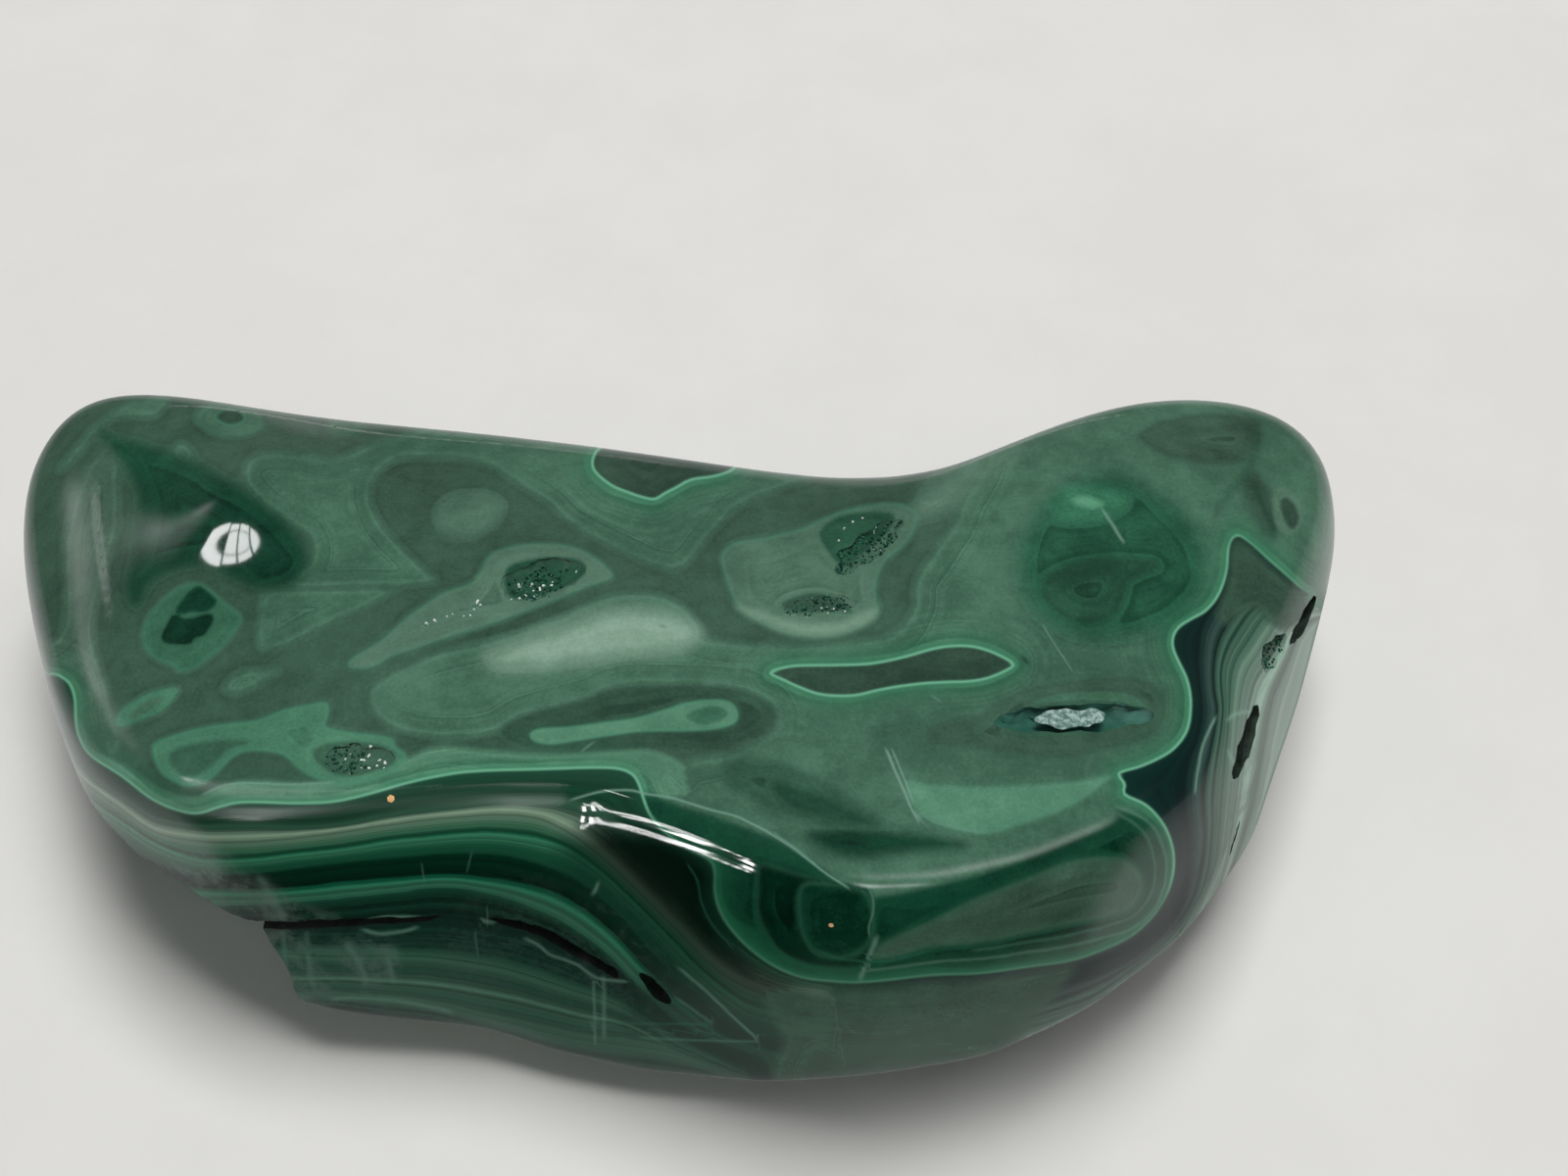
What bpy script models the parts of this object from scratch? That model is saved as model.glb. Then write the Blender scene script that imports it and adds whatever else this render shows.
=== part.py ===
"""A polished malachite freeform.

One kidney-shaped stone, 129 mm long, that lies on a small flat on its underside. Its skin is a smooth
surface through closed outlines, stacked from the crown down to the flat. At the left end the lower
layer of the stone has broken away, a seam is open along the front wall, and small crystal hollows and
pits are cut in the top and in the walls. A white crust lies in the longest hollow of the top.

+X runs along the stone, +Y to its hollow back and +Z up. The middle of the stone's box is on the Z axis
and the flat is at zero height. The numbers below are in millimetres.
"""
import math

import bmesh
import bpy
import numpy as np
from mathutils import Matrix, Vector, noise

MM = 0.001
# The noise has to give the same lumps on each run. Unset, its seed is the clock.
NOISE_SEED = 1796072433
noise.seed_set(NOISE_SEED)

# Driving dimensions
CROWN_HEIGHT = 34.5
CROWN_PLACE = (8.5, -8.5)
RIM_LIFT = 0.6
SHOULDER_LIFT = 2.0
HEEL_DROP = 0.5
FLAT_SCALE = 0.9

# Outlines as (x, y, z), anticlockwise from the left end along the front
RIM = (
    (-59.8, 12.5, 24), (-56, 0.5, 25.5), (-53, -6.5, 26), (-47, -15, 27.5), (-38.5, -21, 29.5),
    (-29.5, -22.3, 31.5), (-21.5, -21.7, 32.5), (-13.5, -21.5, 33.5), (-5.5, -22.8, 34.5),
    (2.5, -26.5, 35), (9.5, -29.8, 35), (16.5, -31.7, 34), (23, -31.1, 33.5), (30.5, -29, 33),
    (38.5, -25, 32.5), (45.5, -18.5, 32), (50.5, -7.5, 31), (55.5, 2.5, 29.5), (60.5, 13.5, 28),
    (62.3, 21.3, 28), (59.1, 27.1, 29), (52, 28.4, 30.2), (44.5, 27.6, 30.5), (37.5, 24.7, 30.5),
    (31.5, 21.2, 30.3), (26, 18.6, 30), (20.5, 17.8, 29.3), (15, 18.2, 29), (8.5, 19.2, 29),
    (1, 20.7, 29), (-8.5, 22.5, 29), (-17.5, 23.9, 29), (-27.5, 25.3, 29), (-37, 27, 29),
    (-47.5, 30.1, 28), (-56, 34.6, 27), (-61, 30.1, 25.5), (-62.7, 22.5, 24.5),
)
BELLY = (
    (-64.3, 15.5, 17), (-61.3, 7.5, 17), (-57.5, -1.5, 17), (-55, -6.5, 17), (-51.5, -12.5, 17),
    (-45, -18, 17), (-37.5, -23, 17), (-29.5, -25.3, 18), (-21.5, -25.5, 19), (-11.5, -26.5, 19),
    (-3.5, -29, 19), (8.5, -32.8, 20), (17.5, -34.3, 20), (26.5, -32.7, 20), (37, -29.1, 19),
    (47.3, -20.9, 18), (54.1, -9.7, 17), (59, 0.8, 17), (62.8, 11.3, 17), (65.5, 19, 17),
    (64.5, 27.5, 17), (58.5, 33.3, 17), (51, 33.8, 18), (42.5, 31.5, 18), (30.5, 24, 18), (14.5, 21, 18),
    (0.5, 23.5, 18), (-17.5, 27.5, 18), (-36.5, 31.5, 18), (-51.5, 35.2, 18), (-60, 35.2, 17),
    (-64.5, 30.5, 17), (-65.8, 23.5, 17),
)
ARRIS = (
    (-60.5, 15.5, 9), (-58.5, 5.5, 9), (-55, -4.5, 9), (-50.5, -13.5, 8), (-45, -20, 8),
    (-39.5, -23.5, 7), (-33.5, -26.5, 5.5), (-25, -27.1, 4.5), (-17.5, -27.5, 4), (-10.5, -29.9, 3.5),
    (-2.5, -31.5, 3), (8.5, -32.1, 2), (19.2, -31.1, 2), (28.5, -29.9, 3), (38.1, -25.5, 4),
    (46.9, -19.1, 6), (53.8, -10.8, 8.5), (57.5, 0.5, 10.5), (60.5, 10.5, 11), (61.5, 19.5, 11),
    (57.5, 27.5, 10), (48.5, 29, 9), (38.5, 25.5, 8), (20.5, 19.5, 7), (5.5, 19.5, 7), (-14.5, 22.5, 7),
    (-34.5, 26.5, 8), (-49.5, 29.5, 8), (-58.5, 26.5, 9),
)
FOOT = (
    (-31.5, 1.5, 0), (-27.5, -12.5, 0), (-19.5, -18.5, 0), (-4.5, -21.5, 0), (10.5, -23.5, 0),
    (24.5, -21.5, 0), (36.5, -14.5, 0), (44.5, -1.5, 0), (44.5, 9.5, 0), (34.5, 14.5, 0),
    (18.5, 11.5, 0), (0.5, 11.5, 0), (-17.5, 13.5, 0), (-27.5, 10.5, 0),
)
KNOB_PLACE, KNOB_WIDTH, KNOB_HEIGHT = (-38.5, 12.5), 5.3, 2.2
KNOB_FADES_BELOW, KNOB_FADE = 26.0, 8.0

# The layer lost at the left end: a corner of the break, and its three edges
BREAK_CORNER = (-34.4, -27.0, 17.4)
BREAK_EDGES = ((-42.0, 0.0, 1.5), (-14.0, 70.0, -8.0), (5.5, 0.0, -22.0))
CHIP_CORNER = (-33.0, -31.0, 4.6)
CHIP_EDGES = ((16.0, -1.6, 0.2), (0.0, 9.0, -7.5), (0.0, -8.0, -9.0))

# Open seams along the walls: width, depth, the wall's outward direction, and the route
SEAMS = {
    "left_seam": (0.9, 3.0, (-0.12, -0.97, 0.18), (
        (-37.5, -22.6, 16.4), (-35.1, -23.6, 16.7), (-29.7, -24.7, 18.5), (-25.7, -25.1, 19.4),
        (-20.2, -25.3, 20.2), (-18.4, -25.3, 20.8))),
    "front_seam": (1.3, 4.0, (-0.25, -0.95, 0.2), (
        (-14.5, -25.8, 20.9), (-11.9, -26.1, 20.6), (-9.4, -26.8, 20.1), (-6.9, -27.8, 19.0),
        (-4.3, -28.8, 17.9), (-3.6, -29.1, 17.2))),
    "right_slit": (0.7, 1.5, (0.84, -0.52, 0.1), (
        (50.6, -14.9, 19.6), (50.4, -15.4, 18.4), (50.1, -15.9, 17.2), (50.0, -16.1, 15.9))),
}

# Hollows: the two ends of the mouth, its width, its depth, and the surface's outward direction
UP = (0.0, 0.0, 1.0)
HOLLOWS = {
    "druse_a": ((-14.2, -0.4, 33.4), (-7.2, 2.1, 33.9), 4.6, 0.8, UP),
    "druse_b": ((-21.0, -3.6, 32.6), (-16.0, -1.6, 33.0), 1.8, 0.5, UP),
    "druse_c": ((-27.8, -16.8, 31.8), (-21.8, -17.6, 32.6), 3.4, 0.7, UP),
    "druse_d": ((15.2, 1.6, 33.8), (20.6, 8.8, 33.0), 3.2, 0.7, (-0.1, 0.2, 0.97)),
    "druse_e": ((10.2, -2.8, 34.2), (16.6, -1.9, 34.3), 2.6, 0.6, UP),
    "crust_slot": ((28.0, -14.6, 33.9), (41.4, -12.9, 32.8), 3.0, 1.3, UP),
    "wall_pit_a": ((52.3, -4.8, 28.9), (55.5, -0.2, 27.0), 2.4, 1.3, (0.8, -0.33, 0.5)),
    "wall_pit_b": ((56.0, 0.0, 26.0), (60.2, 7.8, 23.2), 1.9, 1.8, (0.9, -0.35, 0.3)),
    "wall_pit_c": ((51.8, -8.4, 27.4), (48.8, -15.4, 26.4), 3.0, 2.6, (0.85, -0.41, 0.32)),
    "seam_pit": ((-1.6, -29.6, 18.6), (0.6, -30.7, 15.4), 1.4, 1.4, (-0.27, -0.95, 0.14)),
    "end_pit": ((-46.0, -17.0, 16.6), (-44.0, -18.6, 17.4), 1.3, 1.0, (-0.62, -0.78, 0.1)),
}

# The white crust, which keeps a gap to the floor and sides of its slot
CRUST_ENDS = (31.3, -14.1, 33.4), (37.3, -13.4, 33.0)
CRUST_WIDTH, CRUST_DEPTH, CRUST_RISE = 2.0, 0.55, 0.1

# Fineness of the mesh
OUTLINE_SAMPLES = 360
SMOOTHING_PASSES = 12
SAMPLES_PER_COLUMN = 3
TOP_SCALES = (0.0, 0.22, 0.45, 0.68, 0.86)
ROWS_BETWEEN_RINGS = (2, 2, 2, 2, 3, 3, 3, 2, 2, 2, 2, 1)
BREAK_CUTS = 9
BREAK_LUMP, BREAK_GRAIN = 1.5, 0.14
HOLLOW_LUMP, HOLLOW_GRAIN = 0.3, 0.5

STONE_GREEN, STONE_ROUGHNESS = (0.024, 0.125, 0.068, 1.0), 0.14
CRUST_WHITE, CRUST_ROUGHNESS = (0.42, 0.56, 0.51, 1.0), 0.75


def clear_scene():
    for item in list(bpy.data.objects):
        bpy.data.objects.remove(item, do_unlink=True)


def new_collection(name):
    collection = bpy.data.collections.new(name)
    bpy.context.scene.collection.children.link(collection)
    return collection


def closed_outline(points):
    """The outline sampled at even bearings about the crown, with its corners rounded off."""
    outline = np.array(points, dtype=float)
    bearing = np.arctan2(outline[:, 1] - CROWN_PLACE[1], outline[:, 0] - CROWN_PLACE[0])
    order = np.argsort(bearing)
    samples = np.arange(OUTLINE_SAMPLES) * 2 * math.pi / OUTLINE_SAMPLES
    coordinates = [np.interp(samples, bearing[order], outline[order, axis], period=2 * math.pi)
                   for axis in range(3)]
    ring = np.stack(coordinates, axis=-1)
    for _ in range(SMOOTHING_PASSES):
        ring = (np.roll(ring, 1, axis=0) + 2 * ring + np.roll(ring, -1, axis=0)) / 4
    return ring[::SAMPLES_PER_COLUMN]


def control_rings():
    """The rings that the skin follows, from the crown down to the edge of the flat."""
    rim, belly = closed_outline(RIM), closed_outline(BELLY)
    arris, foot = closed_outline(ARRIS), closed_outline(FOOT)
    crown, base = np.array([*CROWN_PLACE, CROWN_HEIGHT]), np.array([*CROWN_PLACE, 0.0])
    rings = []
    for scale in TOP_SCALES:
        ring = crown + (rim - crown) * scale
        ring[:, 2] = CROWN_HEIGHT + (rim[:, 2] + RIM_LIFT - CROWN_HEIGHT) * scale ** 2
        rings.append(ring)
    shoulder = 0.45 * rim + 0.55 * belly + (0, 0, SHOULDER_LIFT)
    flank = 0.35 * belly + 0.65 * arris
    heel = 0.5 * arris + 0.5 * foot - (0, 0, HEEL_DROP)
    rings += [rim, shoulder, belly, flank, arris, heel, foot, base + FLAT_SCALE * (foot - base)]
    return np.array(rings)


def skin_rows(rings):
    """A uniform cubic B-spline down each column of the rings, which starts and ends on them."""
    above, below = 2 * rings[0] - rings[1], 2 * rings[-1] - rings[-2]
    control = np.concatenate([[above], rings, [below]])
    rows = []
    for span, count in enumerate(ROWS_BETWEEN_RINGS):
        for t in np.arange(count) / count:
            weights = np.array([
                (1 - t) ** 3, 3 * t ** 3 - 6 * t ** 2 + 4, -3 * t ** 3 + 3 * t ** 2 + 3 * t + 1, t ** 3]) / 6
            rows.append(np.tensordot(weights, control[span:span + 4], axes=1))
    rows.append(rings[-1])
    return np.array(rows)


def raise_knob(rows):
    """A low rounded knob on the left of the top."""
    distance = np.hypot(rows[..., 0] - KNOB_PLACE[0], rows[..., 1] - KNOB_PLACE[1])
    on_top = np.clip(1 + (rows[..., 2] - KNOB_FADES_BELOW) / KNOB_FADE, 0, 1)
    rows[..., 2] += KNOB_HEIGHT * np.exp(-0.5 * (distance / KNOB_WIDTH) ** 2) * on_top


def add_object(name, shape, collection):
    bmesh.ops.recalc_face_normals(shape, faces=shape.faces[:])
    if shape.calc_volume(signed=True) < 0:
        bmesh.ops.reverse_faces(shape, faces=shape.faces[:])
    mesh = bpy.data.meshes.new(name)
    shape.to_mesh(mesh)
    shape.free()
    item = bpy.data.objects.new(name, mesh)
    collection.objects.link(item)
    return item


def add_stone(collection):
    """The whole skin, closed by the crown point above and by the flat below."""
    rows = skin_rows(control_rings())
    raise_knob(rows)
    shape = bmesh.new()
    crown = shape.verts.new(rows[0, 0] * MM)
    loops = [[shape.verts.new(point * MM) for point in row] for row in rows[1:]]
    columns = rows.shape[1]
    for column in range(columns):
        after = (column + 1) % columns
        shape.faces.new((crown, loops[0][column], loops[0][after]))
        for upper, lower in zip(loops, loops[1:]):
            shape.faces.new((upper[column], lower[column], lower[after], upper[after]))
    shape.faces.new(loops[-1])
    stone = add_object("malachite_freeform", shape, collection)
    stone.data.shade_smooth()
    return stone


def add_rough_block(name, corner, edges, collection):
    """A leaning block whose faces are broken up into low lumps."""
    shape = bmesh.new()
    bmesh.ops.create_cube(shape, size=1.0)
    bmesh.ops.subdivide_edges(shape, edges=shape.edges[:], cuts=BREAK_CUTS, use_grid_fill=True)
    lean = Matrix(edges).transposed()
    for vertex in shape.verts:
        place = Vector(corner) + lean @ (vertex.co + Vector((0.5, 0.5, 0.5)))
        vertex.co = (place + BREAK_LUMP * noise.noise_vector(place * BREAK_GRAIN)) * MM
    return add_object(name, shape, collection)


def add_seam(name, width, depth, outward, route, collection):
    """A wedge along the route that opens from nothing to its full width and closes again."""
    out = Vector(outward).normalized()
    shape = bmesh.new()
    start = shape.verts.new(Vector(route[0]) * MM)
    end = shape.verts.new(Vector(route[-1]) * MM)
    sections = []
    for number in range(1, len(route) - 1):
        place = Vector(route[number])
        along = (Vector(route[number + 1]) - Vector(route[number - 1])).normalized()
        opening = math.sin(math.pi * number / (len(route) - 1)) ** 0.5
        across = out.cross(along).normalized() * opening * width / 2
        corners = (place + 2 * across + out, place - 2 * across + out, place - out * depth * opening)
        sections.append([shape.verts.new(corner * MM) for corner in corners])
    for side in range(3):
        after = (side + 1) % 3
        shape.faces.new((start, sections[0][side], sections[0][after]))
        shape.faces.new((end, sections[-1][after], sections[-1][side]))
        for near, far in zip(sections, sections[1:]):
            shape.faces.new((near[side], far[side], far[after], near[after]))
    return add_object(name, shape, collection)


def lumpy_lens(start, end, width, depth, rise, outward):
    """A lens about the line between two points of a surface, with its own depth below and rise above."""
    start, end, out = Vector(start), Vector(end), Vector(outward).normalized()
    half_length = (end - start) / 2
    across = out.cross(half_length).normalized() * width / 2
    shape = bmesh.new()
    bmesh.ops.create_icosphere(shape, subdivisions=3, radius=1.0)
    for vertex in shape.verts:
        along, aside, up = vertex.co
        height = up * (rise if up > 0 else depth)
        place = (start + end) / 2 + half_length * along + across * aside + out * height
        vertex.co = (place + HOLLOW_LUMP * noise.noise_vector(place * HOLLOW_GRAIN)) * MM
    return shape


def add_crust(collection):
    shape = lumpy_lens(*CRUST_ENDS, CRUST_WIDTH, CRUST_DEPTH, CRUST_RISE, UP)
    return add_object("white_crust", shape, collection)


def add_cutters(collection):
    cutters = [
        add_rough_block("left_break", BREAK_CORNER, BREAK_EDGES, collection),
        add_rough_block("foot_chip", CHIP_CORNER, CHIP_EDGES, collection),
    ]
    for name, (width, depth, outward, route) in SEAMS.items():
        cutters.append(add_seam(name, width, depth, outward, route, collection))
    for name, (start, end, width, depth, outward) in HOLLOWS.items():
        lens = lumpy_lens(start, end, width, depth, depth, outward)
        cutters.append(add_object(name, lens, collection))
    for cutter in cutters:
        cutter.hide_render = True
        cutter.display_type = "WIRE"
    return cutters


def cut(stone, cutters):
    for cutter in cutters:
        boolean = stone.modifiers.new(cutter.name, "BOOLEAN")
        boolean.operation = "DIFFERENCE"
        boolean.solver = "EXACT"
        boolean.object = cutter


def new_material(name, colour, roughness):
    material = bpy.data.materials.new(name)
    material.use_nodes = True
    shader = material.node_tree.nodes["Principled BSDF"]
    shader.inputs["Base Color"].default_value = colour
    shader.inputs["Roughness"].default_value = roughness
    shader.inputs["Metallic"].default_value = 0.0
    material.diffuse_color = colour
    return material


def build():
    clear_scene()
    parts = new_collection("malachite freeform")
    stone = add_stone(parts)
    stone.data.materials.append(new_material("malachite", STONE_GREEN, STONE_ROUGHNESS))
    crust = add_crust(parts)
    crust.data.materials.append(new_material("white crust", CRUST_WHITE, CRUST_ROUGHNESS))
    cut(stone, add_cutters(new_collection("cutters")))


build()
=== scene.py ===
"""The looks of a polished malachite freeform.

A dense skin carries the bands, and the seams, crystal hollows and crust are set in it. Lengths are in
millimetres and turn into metres by MM. The bands are drawn as outlines in the pixels of a 1600 x 1200
picture seen by this scene's own camera at rest. They run on through the stone along the lines of sight, so
they meet at its edges and carry on over the back and the underside.
"""

import math

import bmesh
import bpy
import numpy as np
from mathutils import Matrix, Vector, geometry, noise
from mathutils.bvhtree import BVHTree


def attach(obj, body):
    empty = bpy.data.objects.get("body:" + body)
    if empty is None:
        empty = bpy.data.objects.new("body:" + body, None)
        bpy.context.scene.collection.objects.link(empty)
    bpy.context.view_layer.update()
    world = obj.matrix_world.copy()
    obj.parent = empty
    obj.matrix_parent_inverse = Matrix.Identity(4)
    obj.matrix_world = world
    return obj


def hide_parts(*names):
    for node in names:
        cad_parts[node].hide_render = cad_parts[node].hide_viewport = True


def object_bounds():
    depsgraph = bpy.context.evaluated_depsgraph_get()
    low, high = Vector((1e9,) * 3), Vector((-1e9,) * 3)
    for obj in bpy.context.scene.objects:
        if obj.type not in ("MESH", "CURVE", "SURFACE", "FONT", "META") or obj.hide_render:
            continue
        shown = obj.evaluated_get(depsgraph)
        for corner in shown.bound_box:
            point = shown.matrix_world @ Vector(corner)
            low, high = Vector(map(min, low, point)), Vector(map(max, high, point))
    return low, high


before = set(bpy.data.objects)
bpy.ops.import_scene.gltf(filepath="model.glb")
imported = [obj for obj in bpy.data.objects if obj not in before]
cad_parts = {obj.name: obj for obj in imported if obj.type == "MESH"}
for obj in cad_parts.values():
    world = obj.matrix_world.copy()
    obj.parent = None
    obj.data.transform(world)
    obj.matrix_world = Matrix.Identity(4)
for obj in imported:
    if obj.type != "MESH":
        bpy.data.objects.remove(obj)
cad_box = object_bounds()

MM = 0.001
NOISE_SEED = 7
noise.seed_set(NOISE_SEED)

# Camera
CAMERA_PLACE = (10.37, -122.18, 179.31)
CAMERA_ELEVATION = math.radians(50)
CAMERA_LENS, CAMERA_SENSOR = 50.0, 36.0
CAMERA_CLIP = 0.01
PICTURE_WIDTH = 1600
PICTURE_CENTRE = (800.0, 600.0)
FOCAL_PIXELS = CAMERA_LENS / CAMERA_SENSOR * PICTURE_WIDTH
SIGHT = np.array([0, math.cos(CAMERA_ELEVATION), -math.sin(CAMERA_ELEVATION)])
SIGHT_UP = np.array([0, math.sin(CAMERA_ELEVATION), math.cos(CAMERA_ELEVATION)])

# The stone's form, as in the part's own source
CROWN_HEIGHT = 34.5
CROWN_PLACE = (8.5, -8.5)
RIM_LIFT, SHOULDER_LIFT, HEEL_DROP, FLAT_SCALE = 0.6, 2.0, 0.5, 0.9
# Shares of the outlines above and below in the rings between them
SHOULDER_BLEND, FLANK_BLEND, HEEL_BLEND = (0.45, 0.55), (0.35, 0.65), (0.5, 0.5)
RIM = (
    (-59.8, 12.5, 24), (-56, 0.5, 25.5), (-53, -6.5, 26), (-47, -15, 27.5), (-38.5, -21, 29.5),
    (-29.5, -22.3, 31.5), (-21.5, -21.7, 32.5), (-13.5, -21.5, 33.5), (-5.5, -22.8, 34.5),
    (2.5, -26.5, 35), (9.5, -29.8, 35), (16.5, -31.7, 34), (23, -31.1, 33.5), (30.5, -29, 33),
    (38.5, -25, 32.5), (45.5, -18.5, 32), (50.5, -7.5, 31), (55.5, 2.5, 29.5), (60.5, 13.5, 28),
    (62.3, 21.3, 28), (59.1, 27.1, 29), (52, 28.4, 30.2), (44.5, 27.6, 30.5), (37.5, 24.7, 30.5),
    (31.5, 21.2, 30.3), (26, 18.6, 30), (20.5, 17.8, 29.3), (15, 18.2, 29), (8.5, 19.2, 29),
    (1, 20.7, 29), (-8.5, 22.5, 29), (-17.5, 23.9, 29), (-27.5, 25.3, 29), (-37, 27, 29),
    (-47.5, 30.1, 28), (-56, 34.6, 27), (-61, 30.1, 25.5), (-62.7, 22.5, 24.5),
)
BELLY = (
    (-64.3, 15.5, 17), (-61.3, 7.5, 17), (-57.5, -1.5, 17), (-55, -6.5, 17), (-51.5, -12.5, 17),
    (-45, -18, 17), (-37.5, -23, 17), (-29.5, -25.3, 18), (-21.5, -25.5, 19), (-11.5, -26.5, 19),
    (-3.5, -29, 19), (8.5, -32.8, 20), (17.5, -34.3, 20), (26.5, -32.7, 20), (37, -29.1, 19),
    (47.3, -20.9, 18), (54.1, -9.7, 17), (59, 0.8, 17), (62.8, 11.3, 17), (65.5, 19, 17),
    (64.5, 27.5, 17), (58.5, 33.3, 17), (51, 33.8, 18), (42.5, 31.5, 18), (30.5, 24, 18), (14.5, 21, 18),
    (0.5, 23.5, 18), (-17.5, 27.5, 18), (-36.5, 31.5, 18), (-51.5, 35.2, 18), (-60, 35.2, 17),
    (-64.5, 30.5, 17), (-65.8, 23.5, 17),
)
ARRIS = (
    (-60.5, 15.5, 9), (-58.5, 5.5, 9), (-55, -4.5, 9), (-50.5, -13.5, 8), (-45, -20, 8),
    (-39.5, -23.5, 7), (-33.5, -26.5, 5.5), (-25, -27.1, 4.5), (-17.5, -27.5, 4), (-10.5, -29.9, 3.5),
    (-2.5, -31.5, 3), (8.5, -32.1, 2), (19.2, -31.1, 2), (28.5, -29.9, 3), (38.1, -25.5, 4),
    (46.9, -19.1, 6), (53.8, -10.8, 8.5), (57.5, 0.5, 10.5), (60.5, 10.5, 11), (61.5, 19.5, 11),
    (57.5, 27.5, 10), (48.5, 29, 9), (38.5, 25.5, 8), (20.5, 19.5, 7), (5.5, 19.5, 7), (-14.5, 22.5, 7),
    (-34.5, 26.5, 8), (-49.5, 29.5, 8), (-58.5, 26.5, 9),
)
FOOT = (
    (-31.5, 1.5, 0), (-27.5, -12.5, 0), (-19.5, -18.5, 0), (-4.5, -21.5, 0), (10.5, -23.5, 0),
    (24.5, -21.5, 0), (36.5, -14.5, 0), (44.5, -1.5, 0), (44.5, 9.5, 0), (34.5, 14.5, 0),
    (18.5, 11.5, 0), (0.5, 11.5, 0), (-17.5, 13.5, 0), (-27.5, 10.5, 0),
)
TOP_SCALES = (0.0, 0.22, 0.45, 0.68, 0.86)
KNOB_PLACE, KNOB_WIDTH, KNOB_HEIGHT = (-38.5, 12.5), 5.3, 2.2
KNOB_FADES_BELOW, KNOB_FADE = 26.0, 8.0
BREAK_CORNER = (-34.4, -27.0, 17.4)
BREAK_EDGES = ((-42.0, 0.0, 1.5), (-14.0, 70.0, -8.0), (5.5, 0.0, -22.0))
CHIP_CORNER = (-33.0, -31.0, 4.6)
CHIP_EDGES = ((16.0, -1.6, 0.2), (0.0, 9.0, -7.5), (0.0, -8.0, -9.0))
# Width, depth, the way out of the wall, and the route
SEAMS = {
    "left_seam": (0.9, 3.0, (-0.12, -0.97, 0.18), (
        (-37.5, -22.6, 16.4), (-35.1, -23.6, 16.7), (-29.7, -24.7, 18.5), (-25.7, -25.1, 19.4),
        (-20.2, -25.3, 20.2), (-18.4, -25.3, 20.8))),
    "front_seam": (1.3, 4.0, (-0.25, -0.95, 0.2), (
        (-14.5, -25.8, 20.9), (-11.9, -26.1, 20.6), (-9.4, -26.8, 20.1), (-6.9, -27.8, 19.0),
        (-4.3, -28.8, 17.9), (-3.6, -29.1, 17.2))),
    "right_slit": (0.7, 1.5, (0.84, -0.52, 0.1), (
        (50.6, -14.9, 19.6), (50.4, -15.4, 18.4), (50.1, -15.9, 17.2), (50.0, -16.1, 15.9))),
}
UP = (0.0, 0.0, 1.0)
# Both ends of the middle line, width, depth, and the way out of the stone
HOLLOWS = {
    "druse_a": ((-14.2, -0.4, 33.4), (-7.2, 2.1, 33.9), 4.6, 0.55, UP),
    "druse_c": ((-27.8, -16.8, 31.8), (-21.8, -17.6, 32.6), 3.0, 0.3, UP),
    "druse_d": ((15.2, 1.6, 33.8), (20.6, 8.8, 33.0), 3.4, 0.5, (-0.1, 0.2, 0.97)),
    "druse_e": ((10.2, -2.8, 34.2), (16.6, -1.9, 34.3), 2.4, 0.35, UP),
    "crust_slot": ((28.0, -14.6, 33.9), (41.4, -12.9, 32.8), 3.0, 1.3, UP),
    "wall_pit_a": ((52.3, -4.8, 28.9), (55.5, -0.2, 27.0), 2.4, 1.3, (0.8, -0.33, 0.5)),
    "wall_pit_b": ((56.0, 0.0, 26.0), (60.2, 7.8, 23.2), 1.9, 1.8, (0.9, -0.35, 0.3)),
    "wall_pit_c": ((51.8, -8.4, 27.4), (48.8, -15.4, 26.4), 3.0, 2.6, (0.85, -0.41, 0.32)),
    "seam_pit": ((-1.6, -29.6, 18.6), (0.6, -30.7, 15.4), 1.4, 1.4, (-0.27, -0.95, 0.14)),
    "end_pit": ((-46.0, -17.0, 16.6), (-44.0, -18.6, 17.4), 1.3, 1.0, (-0.62, -0.78, 0.1)),
}
# Hollows with no floor of their own, walled like the seams in painted shade
BARE_PITS = ("wall_pit_b", "wall_pit_c", "seam_pit", "end_pit")
CRUST_ENDS = (31.3, -14.1, 33.4), (37.3, -13.4, 33.0)
CRUST_WIDTH, CRUST_DEPTH, CRUST_RISE = 2.0, 0.55, 0.1
OUTLINE_SAMPLES, SMOOTHING_PASSES = 360, 12
RISE_BLUR, TOP_BLUR = 0.12, 9.0

# Fineness of the dense skin
FINE_COLUMNS = 2880
SKIN_COLUMNS = 600
ROW_STEPS = 18
UNDERSIDE_STEP = 3
# Behind this line, given by its x and its y, the columns stand further apart
BACK_LINE, BACK_SHARE = ((-60, 60), (20, 12)), 0.6
# Rows where the net over the top ends, where the rim lies, and where the underside begins
EDGE_ROW, RIM_ROW, ARRIS_ROW = 78, 90, 162
# The net's spacing, and how much of one spacing it keeps away from its border
TOP_SPACING, NET_MARGIN = 0.43, 0.9
KEEP_INSIDE, SAME_POINT = 1, 1e-6


def placed(name, data):
    """A new object in the scene."""
    item = bpy.data.objects.new(name, data)
    bpy.context.scene.collection.objects.link(item)
    return item


def new_mesh(name, points, faces):
    mesh = bpy.data.meshes.new(name)
    mesh.from_pydata(points, [], faces)
    return mesh


def vertex_values(mesh, name):
    values = np.empty(len(mesh.vertices) * 3)
    mesh.vertices.foreach_get(name, values)
    return values.reshape(-1, 3)


def unit(vectors):
    return vectors / np.linalg.norm(vectors, axis=1)[:, None]


def blend(shares, above, below):
    return shares[0] * above + shares[1] * below


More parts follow.
